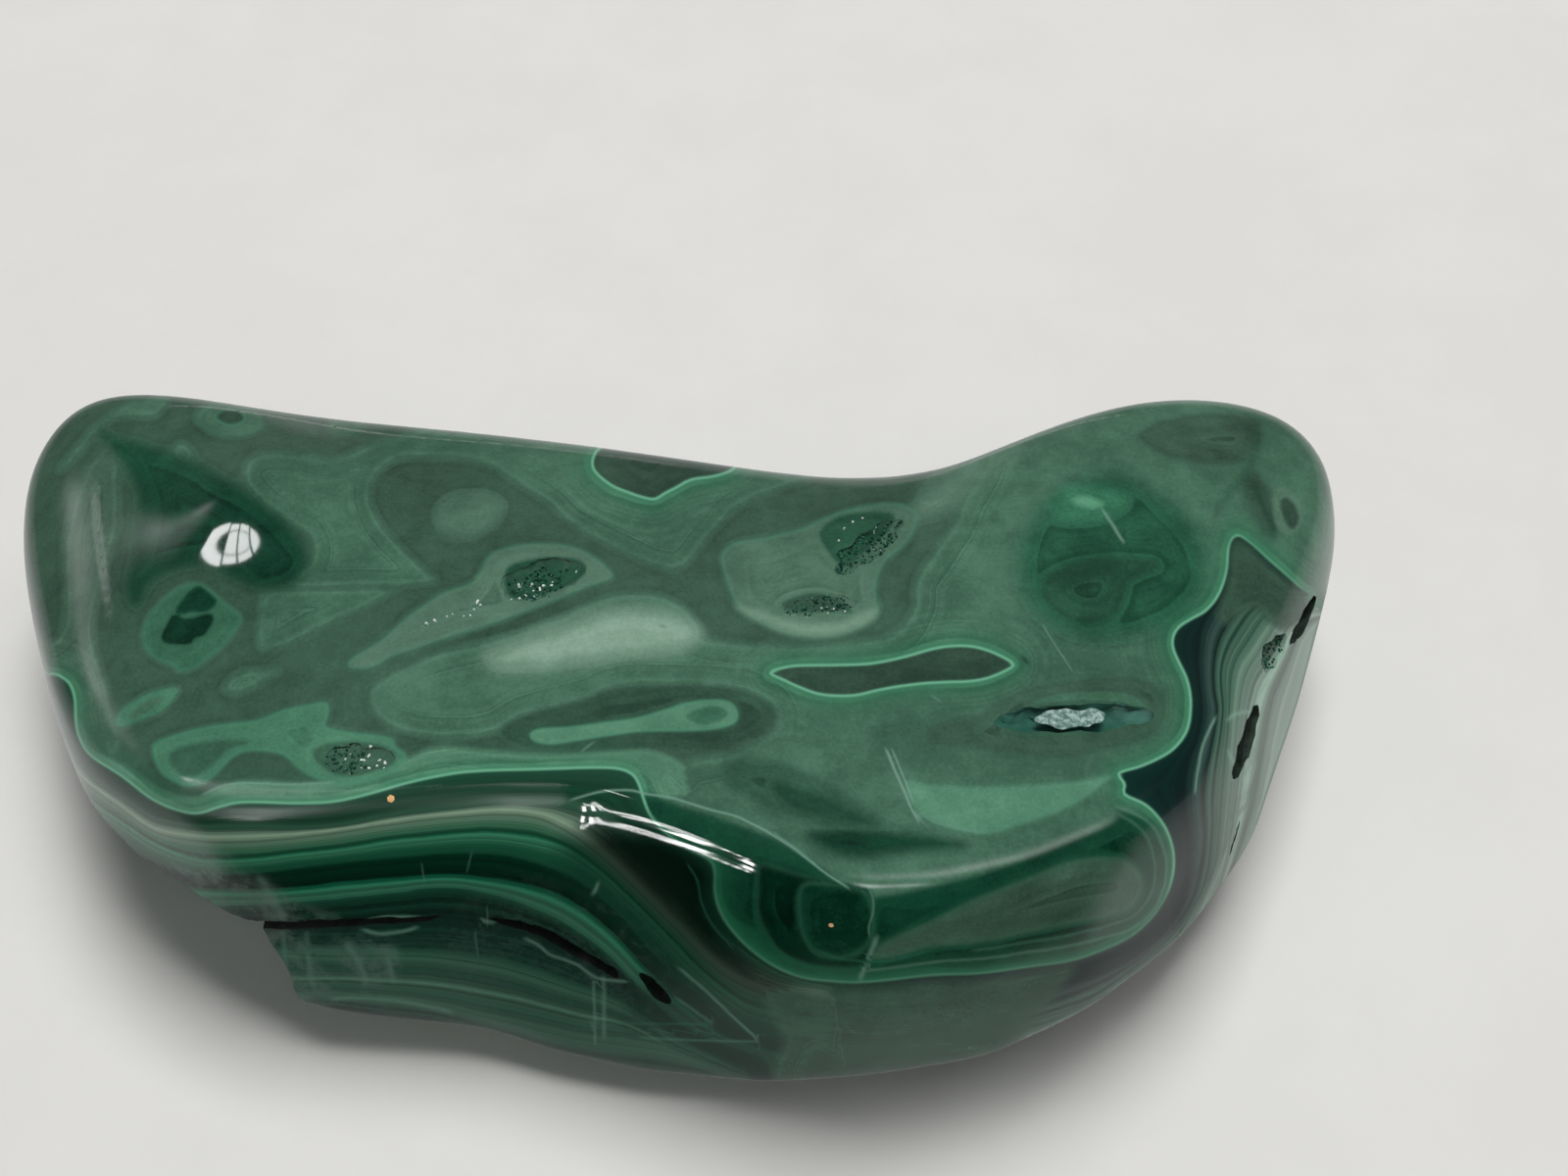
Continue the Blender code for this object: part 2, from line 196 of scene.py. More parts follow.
def closed_outline(points):
    """The outline sampled at even bearings about the crown, with its corners and its rises rounded off."""
    outline = np.array(points, dtype=float)
    bearing = np.arctan2(outline[:, 1] - CROWN_PLACE[1], outline[:, 0] - CROWN_PLACE[0])
    order = np.argsort(bearing)
    samples = np.arange(OUTLINE_SAMPLES) * 2 * math.pi / OUTLINE_SAMPLES
    coordinates = [np.interp(samples, bearing[order], outline[order, axis], period=2 * math.pi)
                   for axis in range(3)]
    ring = np.stack(coordinates, axis=-1)
    for _ in range(SMOOTHING_PASSES):
        ring = (np.roll(ring, 1, axis=0) + 2 * ring + np.roll(ring, -1, axis=0)) / 4
    spectrum = np.fft.rfft(ring, axis=0)
    spectrum[:, 2] *= np.exp(-0.5 * (np.arange(len(spectrum)) * RISE_BLUR) ** 2)
    return np.fft.irfft(spectrum, n=FINE_COLUMNS, axis=0) * FINE_COLUMNS / OUTLINE_SAMPLES


def control_rings():
    """The outlines and the rings between them, from the crown down to the flat."""
    rim, belly = closed_outline(RIM), closed_outline(BELLY)
    arris, foot = closed_outline(ARRIS), closed_outline(FOOT)
    crown, base = np.array([*CROWN_PLACE, CROWN_HEIGHT]), np.array([*CROWN_PLACE, 0.0])
    rings = []
    for scale in TOP_SCALES:
        ring = crown + (rim - crown) * scale
        ring[:, 2] = CROWN_HEIGHT + (rim[:, 2] + RIM_LIFT - CROWN_HEIGHT) * scale ** 2
        rings.append(ring)
    shoulder = blend(SHOULDER_BLEND, rim, belly) + (0, 0, SHOULDER_LIFT)
    flank = blend(FLANK_BLEND, belly, arris)
    heel = blend(HEEL_BLEND, arris, foot) - (0, 0, HEEL_DROP)
    rings += [rim, shoulder, belly, flank, arris, heel, foot, base + FLAT_SCALE * (foot - base)]
    return np.array(rings)


def fine_rows():
    """A uniform cubic B-spline down each column of the rings, with the knob raised on it."""
    rings = control_rings()
    control = np.concatenate([[2 * rings[0] - rings[1]], rings, [2 * rings[-1] - rings[-2]]])
    t = np.arange(ROW_STEPS)[:, None] / ROW_STEPS
    weights = np.hstack([
        (1 - t) ** 3, 3 * t ** 3 - 6 * t ** 2 + 4, -3 * t ** 3 + 3 * t ** 2 + 3 * t + 1, t ** 3]) / 6
    spans = [np.tensordot(weights, control[span:span + 4], axes=1) for span in range(len(rings) - 1)]
    rows = np.concatenate(spans + [rings[-1:]])
    top = rows[:RIM_ROW, :, 2]
    spectrum = np.fft.rfft(top, axis=1)
    reach = np.hypot(rows[:RIM_ROW, :, 0] - CROWN_PLACE[0], rows[:RIM_ROW, :, 1] - CROWN_PLACE[1])
    blur = TOP_BLUR * (1 - np.arange(RIM_ROW) / RIM_ROW) ** 0.5 / np.maximum(reach.mean(axis=1), 1.0)
    spectrum *= np.exp(-0.5 * (np.arange(spectrum.shape[1]) * blur[:, None]) ** 2)
    rows[:RIM_ROW, :, 2] = np.fft.irfft(spectrum, n=FINE_COLUMNS, axis=1)
    distance = np.hypot(rows[..., 0] - KNOB_PLACE[0], rows[..., 1] - KNOB_PLACE[1])
    on_top = np.clip(1 + (rows[..., 2] - KNOB_FADES_BELOW) / KNOB_FADE, 0, 1)
    rows[..., 2] += KNOB_HEIGHT * np.exp(-0.5 * (distance / KNOB_WIDTH) ** 2) * on_top
    return rows


def chosen_columns(ring):
    """Columns at even steps along the ring, closer on the side towards the camera."""
    steps = np.linalg.norm(np.roll(ring, -1, axis=0) - ring, axis=1)
    steps *= np.where(ring[:, 1] < np.interp(ring[:, 0], *BACK_LINE), 1.0, BACK_SHARE)
    travelled = np.concatenate([[0], np.cumsum(steps)])
    places = np.linspace(0, travelled[-1], SKIN_COLUMNS, endpoint=False)
    return np.unique(np.round(np.interp(places, travelled, np.arange(len(travelled)))).astype(int))


def curved_height(radius, reach, height):
    """Height at each radius along one column, curved between the column's rows."""
    slope = np.gradient(height, reach)
    after = np.clip(np.searchsorted(reach, radius), 1, len(reach) - 1)
    before = after - 1
    gap = reach[after] - reach[before]
    share = (radius - reach[before]) / gap
    low = height[before] * (1 + 2 * share) + slope[before] * gap * share
    high = height[after] * (3 - 2 * share) + slope[after] * gap * (share - 1)
    return low * (1 - share) ** 2 + high * share ** 2


def top_points(rows):
    """An even triangular net over the top, inside the edge row, lifted to the skin's height."""
    edge = rows[EDGE_ROW]
    low, high = edge.min(axis=0), edge.max(axis=0)
    lines = np.arange(low[1], high[1], TOP_SPACING * math.sqrt(3) / 2)
    points = []
    for number, y in enumerate(lines):
        x = np.arange(low[0] + (number % 2) * TOP_SPACING / 2, high[0], TOP_SPACING)
        points.append(np.stack([x, np.full_like(x, y)], axis=-1))
    points = np.concatenate(points)
    away = points - CROWN_PLACE
    radius = np.hypot(*away.T)
    column = np.arctan2(away[:, 1], away[:, 0]) / (2 * math.pi) * FINE_COLUMNS % FINE_COLUMNS
    first = np.floor(column).astype(int) % FINE_COLUMNS
    reach = np.hypot(*(rows[:EDGE_ROW + 1, :, :2] - CROWN_PLACE).transpose(2, 0, 1))
    inside = radius < np.interp(column, np.arange(FINE_COLUMNS), reach[-1]) - NET_MARGIN * TOP_SPACING
    points, radius, column, first = points[inside], radius[inside], column[inside], first[inside]
    order = np.argsort(first, kind="stable")
    points, radius, column, first = points[order], radius[order], column[order], first[order]
    share = column - first
    height = np.zeros(len(points))
    starts = np.searchsorted(first, np.arange(FINE_COLUMNS + 1))
    for number in range(FINE_COLUMNS):
        part = slice(starts[number], starts[number + 1])
        after = (number + 1) % FINE_COLUMNS
        here = curved_height(radius[part], reach[:, number], rows[:EDGE_ROW + 1, number, 2])
        there = curved_height(radius[part], reach[:, after], rows[:EDGE_ROW + 1, after, 2])
        height[part] = here + (there - here) * share[part]
    return np.column_stack([points, height])


def skin_mesh():
    """The whole skin: a triangular net over the top and rows of quads down the walls to the flat."""
    rows = fine_rows()
    columns = chosen_columns(rows[RIM_ROW])
    wall = list(range(EDGE_ROW, ARRIS_ROW)) + list(range(ARRIS_ROW, len(rows), UNDERSIDE_STEP))
    rings = rows[wall][:, columns]
    count = len(columns)
    net = top_points(rows)
    flat = np.concatenate([rings[0][:, :2], net[:, :2]])
    border = [(number, (number + 1) % count) for number in range(count)]
    _, _, triangles, originals, _, _ = geometry.delaunay_2d_cdt(
        [Vector(point) for point in flat], border, [list(range(count))], KEEP_INSIDE, SAME_POINT)
    points = np.concatenate([rings.reshape(-1, 3), net])
    moved = len(rings) * count - count
    number_of = [sources[0] if sources[0] < count else sources[0] + moved for sources in originals]
    faces = [tuple(number_of[corner] for corner in triangle) for triangle in triangles]
    for row in range(len(rings) - 1):
        upper, lower = row * count, (row + 1) * count
        for start in range(count):
            after = (start + 1) % count
            faces.append((upper + start, lower + start, lower + after, upper + after))
    faces.append(tuple(range((len(rings) - 1) * count, len(rings) * count)))
    return new_mesh("malachite_skin", (points * MM).tolist(), faces)


# Cutters

BLOCK_CUTS = 40
BREAK_LUMP, BREAK_GRAIN = 1.5, 0.14
BREAK_CHIP, BREAK_CHIP_GRAIN = 0.35, 0.9
HOLLOW_LUMP, HOLLOW_GRAIN = 0.35, 0.6
HOLLOW_CHIP, HOLLOW_CHIP_GRAIN = 0.45, 1.1
# Hollows narrower than this are less lumpy
LUMPY_WIDTH = 3.2
LENS_SUBDIVISIONS, CRUST_SUBDIVISIONS = 4, 6
SEAM_CHIP, SEAM_CHIP_GRAIN = 0.22, 1.6
SEAM_STEPS = 6


def lumpy(place, lump, grain, chip, chip_grain):
    """The place, moved by broad lumps and by small chips."""
    moved = place + lump * noise.noise_vector(place * grain)
    return moved + chip * noise.noise_vector(place * chip_grain)


def from_shape(name, shape):
    mesh = bpy.data.meshes.new(name)
    shape.to_mesh(mesh)
    shape.free()
    return placed(name, mesh)


def add_solid(name, shape):
    """An object from the shape, with its faces turned outwards."""
    bmesh.ops.recalc_face_normals(shape, faces=shape.faces[:])
    if shape.calc_volume(signed=True) < 0:
        bmesh.ops.reverse_faces(shape, faces=shape.faces[:])
    return from_shape(name, shape)


def add_rough_block(name, corner, edges):
    """A block from its corner along its three edges, with lumpy faces."""
    shape = bmesh.new()
    bmesh.ops.create_cube(shape, size=1.0)
    bmesh.ops.subdivide_edges(shape, edges=shape.edges[:], cuts=BLOCK_CUTS, use_grid_fill=True)
    lean = Matrix(edges).transposed()
    for vertex in shape.verts:
        place = Vector(corner) + lean @ (vertex.co + Vector((0.5, 0.5, 0.5)))
        vertex.co = lumpy(place, BREAK_LUMP, BREAK_GRAIN, BREAK_CHIP, BREAK_CHIP_GRAIN) * MM
    return add_solid(name, shape)


def add_seam(name, width, depth, outward, route):
    """A wedge along the route, with chipped lips, that opens from nothing and closes again."""
    out = Vector(outward).normalized()
    count = (len(route) - 1) * SEAM_STEPS
    places = np.arange(count + 1) / SEAM_STEPS
    course = np.column_stack([np.interp(places, np.arange(len(route)), axis) for axis in zip(*route)])
    shape = bmesh.new()
    start = shape.verts.new(Vector(course[0]) * MM)
    end = shape.verts.new(Vector(course[-1]) * MM)
    sections = []
    for number in range(1, count):
        place = Vector(course[number])
        along = (Vector(course[number + 1]) - Vector(course[number - 1])).normalized()
        opening = math.sin(math.pi * number / count) ** 0.5
        across = out.cross(along).normalized() * opening * width / 2
        corners = (place + 2 * across + out, place + across, place - out * depth * opening,
                   place - across, place - 2 * across + out)
        chipped = [corner + SEAM_CHIP * noise.noise_vector(corner * SEAM_CHIP_GRAIN) for corner in corners]
        sections.append([shape.verts.new(corner * MM) for corner in chipped])
    sides = len(sections[0])
    for side in range(sides):
        after = (side + 1) % sides
        shape.faces.new((start, sections[0][side], sections[0][after]))
        shape.faces.new((end, sections[-1][after], sections[-1][side]))
        for near, far in zip(sections, sections[1:]):
            shape.faces.new((near[side], far[side], far[after], near[after]))
    return add_solid(name, shape)


def lumpy_lens(start, end, width, depth, rise, outward, subdivisions):
    """A lens about the line between two points of a surface, with its own depth below and rise above."""
    start, end, out = Vector(start), Vector(end), Vector(outward).normalized()
    half_length = (end - start) / 2
    across = out.cross(half_length).normalized() * width / 2
    shape = bmesh.new()
    bmesh.ops.create_icosphere(shape, subdivisions=subdivisions, radius=1.0)
    for vertex in shape.verts:
        along, aside, up = vertex.co
        height = up * (rise if up > 0 else depth)
        place = (start + end) / 2 + half_length * along + across * aside + out * height
        shift = lumpy(place, HOLLOW_LUMP, HOLLOW_GRAIN, HOLLOW_CHIP, HOLLOW_CHIP_GRAIN) - place
        shift *= min(width / LUMPY_WIDTH, 1.0)
        shift -= out * shift.dot(out) * (1 - min(depth, 1.0) / 2)
        vertex.co = (place + shift) * MM
    return shape


def joined(name, items, material):
    """One object with the meshes of all the items, in one material."""
    shape = bmesh.new()
    for item in items:
        shape.from_mesh(item.data)
        bpy.data.objects.remove(item, do_unlink=True)
    whole = from_shape(name, shape)
    whole.data.materials.append(material)
    return whole


def cut(stone, cutters):
    """The stone less the cutters, whose faces bring their own materials along."""
    for cutter in cutters:
        boolean = stone.modifiers.new(cutter.name, "BOOLEAN")
        boolean.operation = "DIFFERENCE"
        boolean.solver = "EXACT"
        boolean.material_mode = "TRANSFER"
        boolean.object = cutter
    bpy.context.view_layer.update()
    mesh = bpy.data.meshes.new_from_object(stone.evaluated_get(bpy.context.evaluated_depsgraph_get()))
    stone.modifiers.clear()
    stone.data = mesh
    for cutter in cutters:
        bpy.data.objects.remove(cutter, do_unlink=True)


# Bands, as outlines in picture pixels

FAR = 60.0
OUTLINE_STEPS = 4
# The rim that marks a window, which gets the mint line in place of a pale rim
WINDOW_RIM = 1

# How each kind of ground looks: tone from near-black green to mint, and greyness
CHANNEL = (0.4, 0.95)
DUSK = (0.34, 0.85)
PIT = (0.31, 1.0)
DEEP = (0.22, 0.0)
MOSS = (0.475, 0.8)
GRASS = (0.49, 0.5)
SAGE = (0.505, 0.8)
LEAF = (0.6, 0.6)
MINT = (0.66, 0.3)

# Areas, each layer over the one before it: tone and greyness, softness of the edge in pixels, strength of
# the pale rim or, in FLANKS, how opaque the area is, and the outline
BEDS = {
    "right_ground": (MOSS, 9, 0, (
        (718, 655), (760, 658), (800, 659), (850, 658), (880, 655), (903, 650), (922, 637), (932, 618),
        (933, 600), (938, 585), (955, 562), (972, 538), (985, 508), (1000, 480), (1020, 440), (1100, 380),
        (1300, 380), (1420, 480), (1420, 900), (1200, 1000), (900, 1000), (700, 930), (655, 850),
        (652, 800), (690, 790), (700, 778), (745, 768), (785, 748), (792, 733), (785, 718), (760, 705),
        (720, 699), (700, 680))),
    "upper_ground": (MOSS, 7, 0, (
        (250, 490), (252, 472), (268, 462), (300, 461), (335, 468), (358, 462), (380, 452), (410, 443),
        (440, 434), (500, 415), (600, 420), (700, 440), (800, 470), (835, 483), (800, 497), (770, 508),
        (750, 520), (735, 535), (720, 552), (708, 568), (698, 578), (685, 581), (665, 577), (645, 568),
        (620, 556), (600, 545), (580, 532), (560, 513), (540, 500), (525, 490), (505, 478), (480, 470),
        (450, 467), (415, 468), (393, 477), (382, 490), (378, 510), (385, 530), (398, 547), (412, 562),
        (430, 580), (447, 592), (430, 596), (400, 598), (350, 599), (300, 601), (278, 600), (290, 592),
        (312, 578), (321, 562), (316, 546), (300, 535), (285, 524), (268, 512), (256, 500))),
    "pale_lobe": (SAGE, 8, 0, (
        (378, 705), (385, 697), (400, 688), (420, 678), (450, 665), (480, 657), (520, 646), (550, 636),
        (580, 625), (605, 614), (625, 608), (650, 606), (675, 609), (695, 618), (707, 630), (713, 640),
        (718, 652), (760, 657), (800, 662), (800, 690), (760, 702), (700, 699), (640, 700), (615, 705),
        (600, 712), (570, 720), (550, 725), (530, 732), (515, 742), (500, 748), (480, 752), (450, 753),
        (425, 750), (402, 742), (386, 731), (378, 718))),
    "left_lobe": ((0.46, 1.0), 7, 0, (
        (114, 448), (119, 460), (120, 490), (120, 530), (114, 562), (107, 590), (99, 615), (95, 640),
        (97, 665), (104, 690), (112, 715), (118, 740), (122, 760), (110, 775), (90, 765), (78, 745),
        (70, 700), (40, 690), (30, 640), (50, 655), (64, 640), (66, 600), (66, 565), (70, 530), (76, 505),
        (90, 478), (104, 460))),
    "corner_patch": (MOSS, 8, 0, (
        (90, 440), (110, 425), (128, 412), (150, 405), (172, 402), (168, 415), (158, 424), (135, 424),
        (115, 428), (98, 440), (75, 470), (60, 480))),
    "mint_bank": ((0.58, 0.72), 7, 0, (
        (78, 745), (90, 755), (104, 767), (128, 783), (152, 800), (175, 812), (200, 814), (225, 803),
        (245, 797), (275, 797), (300, 799), (340, 797), (380, 788), (410, 777), (435, 765), (460, 762),
        (490, 765), (520, 768), (560, 770), (600, 768), (640, 765), (665, 766), (690, 775), (715, 795),
        (740, 810), (700, 830), (664, 832), (640, 800), (560, 800), (400, 815), (250, 830), (180, 835),
        (100, 790), (70, 760))),
    "triangle": (MOSS, 8, 0, (
        (264, 660), (266, 612), (276, 602), (330, 602), (398, 601), (388, 611), (368, 621), (340, 633),
        (312, 648), (288, 661))),
    "soft_patch": (MOSS, 9, 0, (
        (228, 706), (236, 692), (252, 685), (285, 684), (276, 692), (262, 701), (245, 708))),
    "back_patch": (MOSS, 8, 0, (
        (335, 430), (350, 420), (370, 424), (374, 436), (355, 444), (338, 441))),
    "knob_patch": (MOSS, 9, 0, ((176, 460), (186, 452), (198, 462), (192, 474), (180, 470))),
}
SHADES = {
    # The first area is a painted reflection: a pale veil where the back slope mirrors the bright room.
    "back_painted_reflection": ((0.54, 1.0), 30, 0, (
        (930, 530), (950, 490), (985, 462), (1030, 438), (1080, 415), (1130, 405), (1120, 425), (1075, 448),
        (1030, 472), (995, 498), (965, 525))),
    "knob_shade": ((0.26, 0.1), 20, 0, (
        (104, 440), (130, 448), (170, 460), (210, 476), (248, 498), (280, 522), (306, 548), (314, 575),
        (298, 598), (266, 602), (238, 592), (205, 578), (160, 592), (140, 620), (128, 600), (136, 560),
        (140, 510), (128, 478), (112, 458))),
    "lens_shade": (DUSK, 8, 0, (
        (515, 742), (540, 730), (570, 722), (598, 714), (620, 706), (650, 703), (700, 701), (745, 703),
        (772, 710), (787, 722), (789, 736), (778, 748), (755, 758), (730, 766), (700, 766), (670, 762),
        (640, 762), (600, 765), (560, 766), (530, 760), (515, 752))),
    "middle_shade": ((0.37, 0.7), 14, 0, (
        (735, 790), (740, 780), (760, 775), (790, 778), (815, 785), (840, 795), (865, 810), (885, 825),
        (900, 835), (915, 843), (910, 850), (880, 850), (850, 848), (830, 842), (810, 835), (790, 828),
        (770, 818), (750, 808), (738, 800))),
    "ridge_shade": ((0.19, 0.0), 22, 0, (
        (825, 850), (860, 843), (900, 846), (930, 850), (960, 854), (985, 862), (960, 868), (920, 872),
        (880, 876), (850, 872), (832, 862))),
    "slot_ring": ((0.41, 0.95), 8, 0, (
        (945, 750), (955, 740), (975, 733), (1000, 728), (1015, 718), (1040, 705), (1070, 698),
        (1100, 694), (1140, 690), (1160, 692), (1180, 700), (1190, 715), (1190, 730), (1182, 745),
        (1165, 755), (1140, 762), (1115, 768), (1095, 773), (1060, 773), (1030, 768), (1000, 765),
        (970, 760), (950, 757))),
    "oval_zone": ((0.34, 0.2), 36, 0, (
        (1040, 560), (1060, 520), (1100, 490), (1140, 480), (1180, 500), (1215, 530), (1232, 570),
        (1230, 600), (1205, 630), (1180, 645), (1130, 655), (1080, 645), (1045, 610))),
    "boss_ground": ((0.23, 0.0), 10, 0, (
        (655, 808), (690, 822), (730, 834), (770, 850), (800, 864), (830, 884), (858, 904), (890, 914),
        (940, 906), (1000, 892), (1050, 874), (1100, 854), (1135, 838), (1146, 828), (1200, 850),
        (1230, 900), (1200, 960), (1100, 1010), (900, 1030), (780, 1010), (720, 960), (690, 880),
        (664, 850))),
    "end_shade": ((0.35, 1.0), 14, 0, (
        (1268, 500), (1280, 480), (1296, 500), (1306, 530), (1300, 552), (1284, 540))),
}
LOBES = {
    "mottled_patch": ((0.53, 0.95), 22, 0, (
        (445, 520), (455, 508), (475, 502), (500, 505), (513, 515), (508, 532), (490, 545), (470, 550),
        (455, 546), (447, 535))),
    "cat": ((0.5, 0.95), 4, 0.3, (
        (737, 570), (742, 560), (755, 553), (780, 550), (800, 545), (820, 540), (840, 530), (860, 522),
        (880, 518), (905, 515), (925, 518), (935, 528), (930, 545), (918, 560), (905, 570), (898, 580),
        (893, 595), (893, 612), (896, 620), (890, 630), (880, 638), (865, 645), (845, 649), (825, 649),
        (800, 645), (780, 637), (765, 628), (752, 615), (745, 600), (740, 585))),
    "long_island": ((0.54, 1.0), 4, 0.25, (
        (625, 588), (615, 575), (600, 565), (585, 559), (570, 556), (540, 555), (515, 560), (500, 568),
        (490, 585), (480, 597), (455, 605), (430, 620), (410, 635), (392, 652), (375, 663), (360, 672),
        (356, 680), (370, 682), (385, 678), (400, 668), (425, 660), (440, 655), (470, 646), (490, 640),
        (515, 631), (540, 622), (560, 614), (580, 606), (600, 598), (613, 594))),
    "twin_island": ((0.53, 0.5), 3.5, 0.4, (
        (157, 770), (158, 760), (175, 752), (200, 745), (230, 740), (265, 735), (290, 725), (315, 720),
        (333, 718), (334, 730), (332, 742), (350, 747), (380, 750), (400, 754), (403, 762), (414, 771),
        (410, 781), (390, 792), (360, 800), (340, 800), (320, 793), (305, 784), (295, 774), (285, 768),
        (268, 765), (250, 766), (238, 772), (228, 782), (218, 792), (205, 800), (190, 802), (175, 796),
        (163, 786))),
    "lens_island": (LEAF, 3, 0.4, (
        (541, 750), (550, 744), (580, 742), (620, 736), (650, 732), (680, 724), (700, 718), (725, 715),
        (744, 717), (752, 727), (750, 737), (735, 743), (710, 746), (680, 746), (650, 746), (620, 750),
        (590, 755), (565, 759), (548, 757))),
    "polygon_eye": ((0.43, 0.5), 5, 0.25, (
        (200, 597), (215, 604), (228, 616), (243, 627), (245, 634), (238, 646), (226, 661), (210, 673),
        (195, 682), (183, 684), (176, 678), (160, 672), (149, 660), (146, 648), (150, 632), (160, 620),
        (173, 608), (185, 600))),
    "top_eye": (MOSS, 5, 0.1, (
        (200, 428), (208, 416), (225, 409), (248, 411), (264, 422), (268, 434), (255, 443), (235, 445),
        (214, 441))),
    "small_eye": (GRASS, 4, 0.2, (
        (118, 738), (124, 725), (140, 714), (158, 705), (178, 701), (180, 706), (172, 718), (160, 728),
        (142, 735), (128, 741))),
    "pale_bank": (LEAF, 7, 0.1, (
        (926, 797), (945, 801), (1000, 803), (1050, 802), (1100, 797), (1135, 790), (1125, 800),
        (1100, 818), (1070, 832), (1040, 842), (1010, 850), (985, 848), (960, 840), (938, 830),
        (930, 815))),
    "dark_oval": ((0.31, 0.4), 8, 0, (
        (1062, 600), (1068, 590), (1080, 580), (1100, 572), (1130, 569), (1160, 570), (1178, 572),
        (1183, 580), (1165, 588), (1152, 595), (1150, 605), (1145, 618), (1135, 630), (1120, 636),
        (1105, 637), (1090, 632), (1075, 622), (1065, 612))),
    "back_oval": ((0.37, 1.0), 9, 0, (
        (1160, 445), (1170, 435), (1190, 427), (1220, 422), (1250, 421), (1275, 425), (1287, 432),
        (1285, 445), (1280, 460), (1270, 470), (1250, 475), (1230, 475), (1210, 470), (1190, 465),
        (1170, 455))),
    "back_window": (PIT, 2.4, WINDOW_RIM, (
        (640, 420), (625, 450), (612, 458), (606, 468), (606, 478), (613, 487), (625, 496), (640, 502),
        (655, 507), (668, 509), (678, 503), (690, 497), (705, 490), (725, 487), (742, 482), (752, 474),
        (770, 440))),
    "lens_window": (PIT, 2.4, WINDOW_RIM, (
        (786, 687), (797, 682), (815, 679), (850, 679), (880, 678), (900, 675), (925, 669), (950, 662),
        (970, 659), (990, 659), (1005, 662), (1020, 668), (1034, 677), (1028, 683), (1010, 691),
        (990, 695), (965, 696), (940, 697), (915, 700), (895, 704), (875, 709), (855, 710), (835, 708),
        (815, 701), (800, 694))),
    "slot_lip": ((0.5, 0.7), 4, 0, (
        (1052, 718), (1068, 711), (1090, 708), (1120, 706), (1148, 708), (1162, 714), (1172, 724),
        (1166, 730), (1150, 722), (1120, 717), (1085, 718))),
    "right_eye_glow": ((0.46, 0.15), 16, 0, (
        (1070, 515), (1085, 500), (1110, 494), (1140, 500), (1150, 515), (1130, 530), (1100, 535),
        (1080, 530))),
    "end_ring": ((0.51, 1.0), 6, 0, (
        (1300, 502), (1312, 498), (1324, 508), (1330, 525), (1322, 543), (1308, 543), (1300, 530))),
    "eye_ring": ((0.13, 0.0), 5, 0.1, (
        (775, 884), (773, 905), (774, 930), (783, 952), (798, 972), (825, 984), (855, 988), (884, 984),
        (890, 960), (891, 930), (889, 908), (860, 900), (820, 894), (790, 886))),
    "boss_oval": ((0.42, 1.0), 8, 0.12, (
        (888, 976), (905, 960), (950, 940), (1000, 916), (1060, 892), (1100, 878), (1140, 876),
        (1156, 884), (1165, 898), (1162, 916), (1145, 932), (1100, 941), (1050, 952), (1000, 961),
        (950, 966), (910, 976))),
}
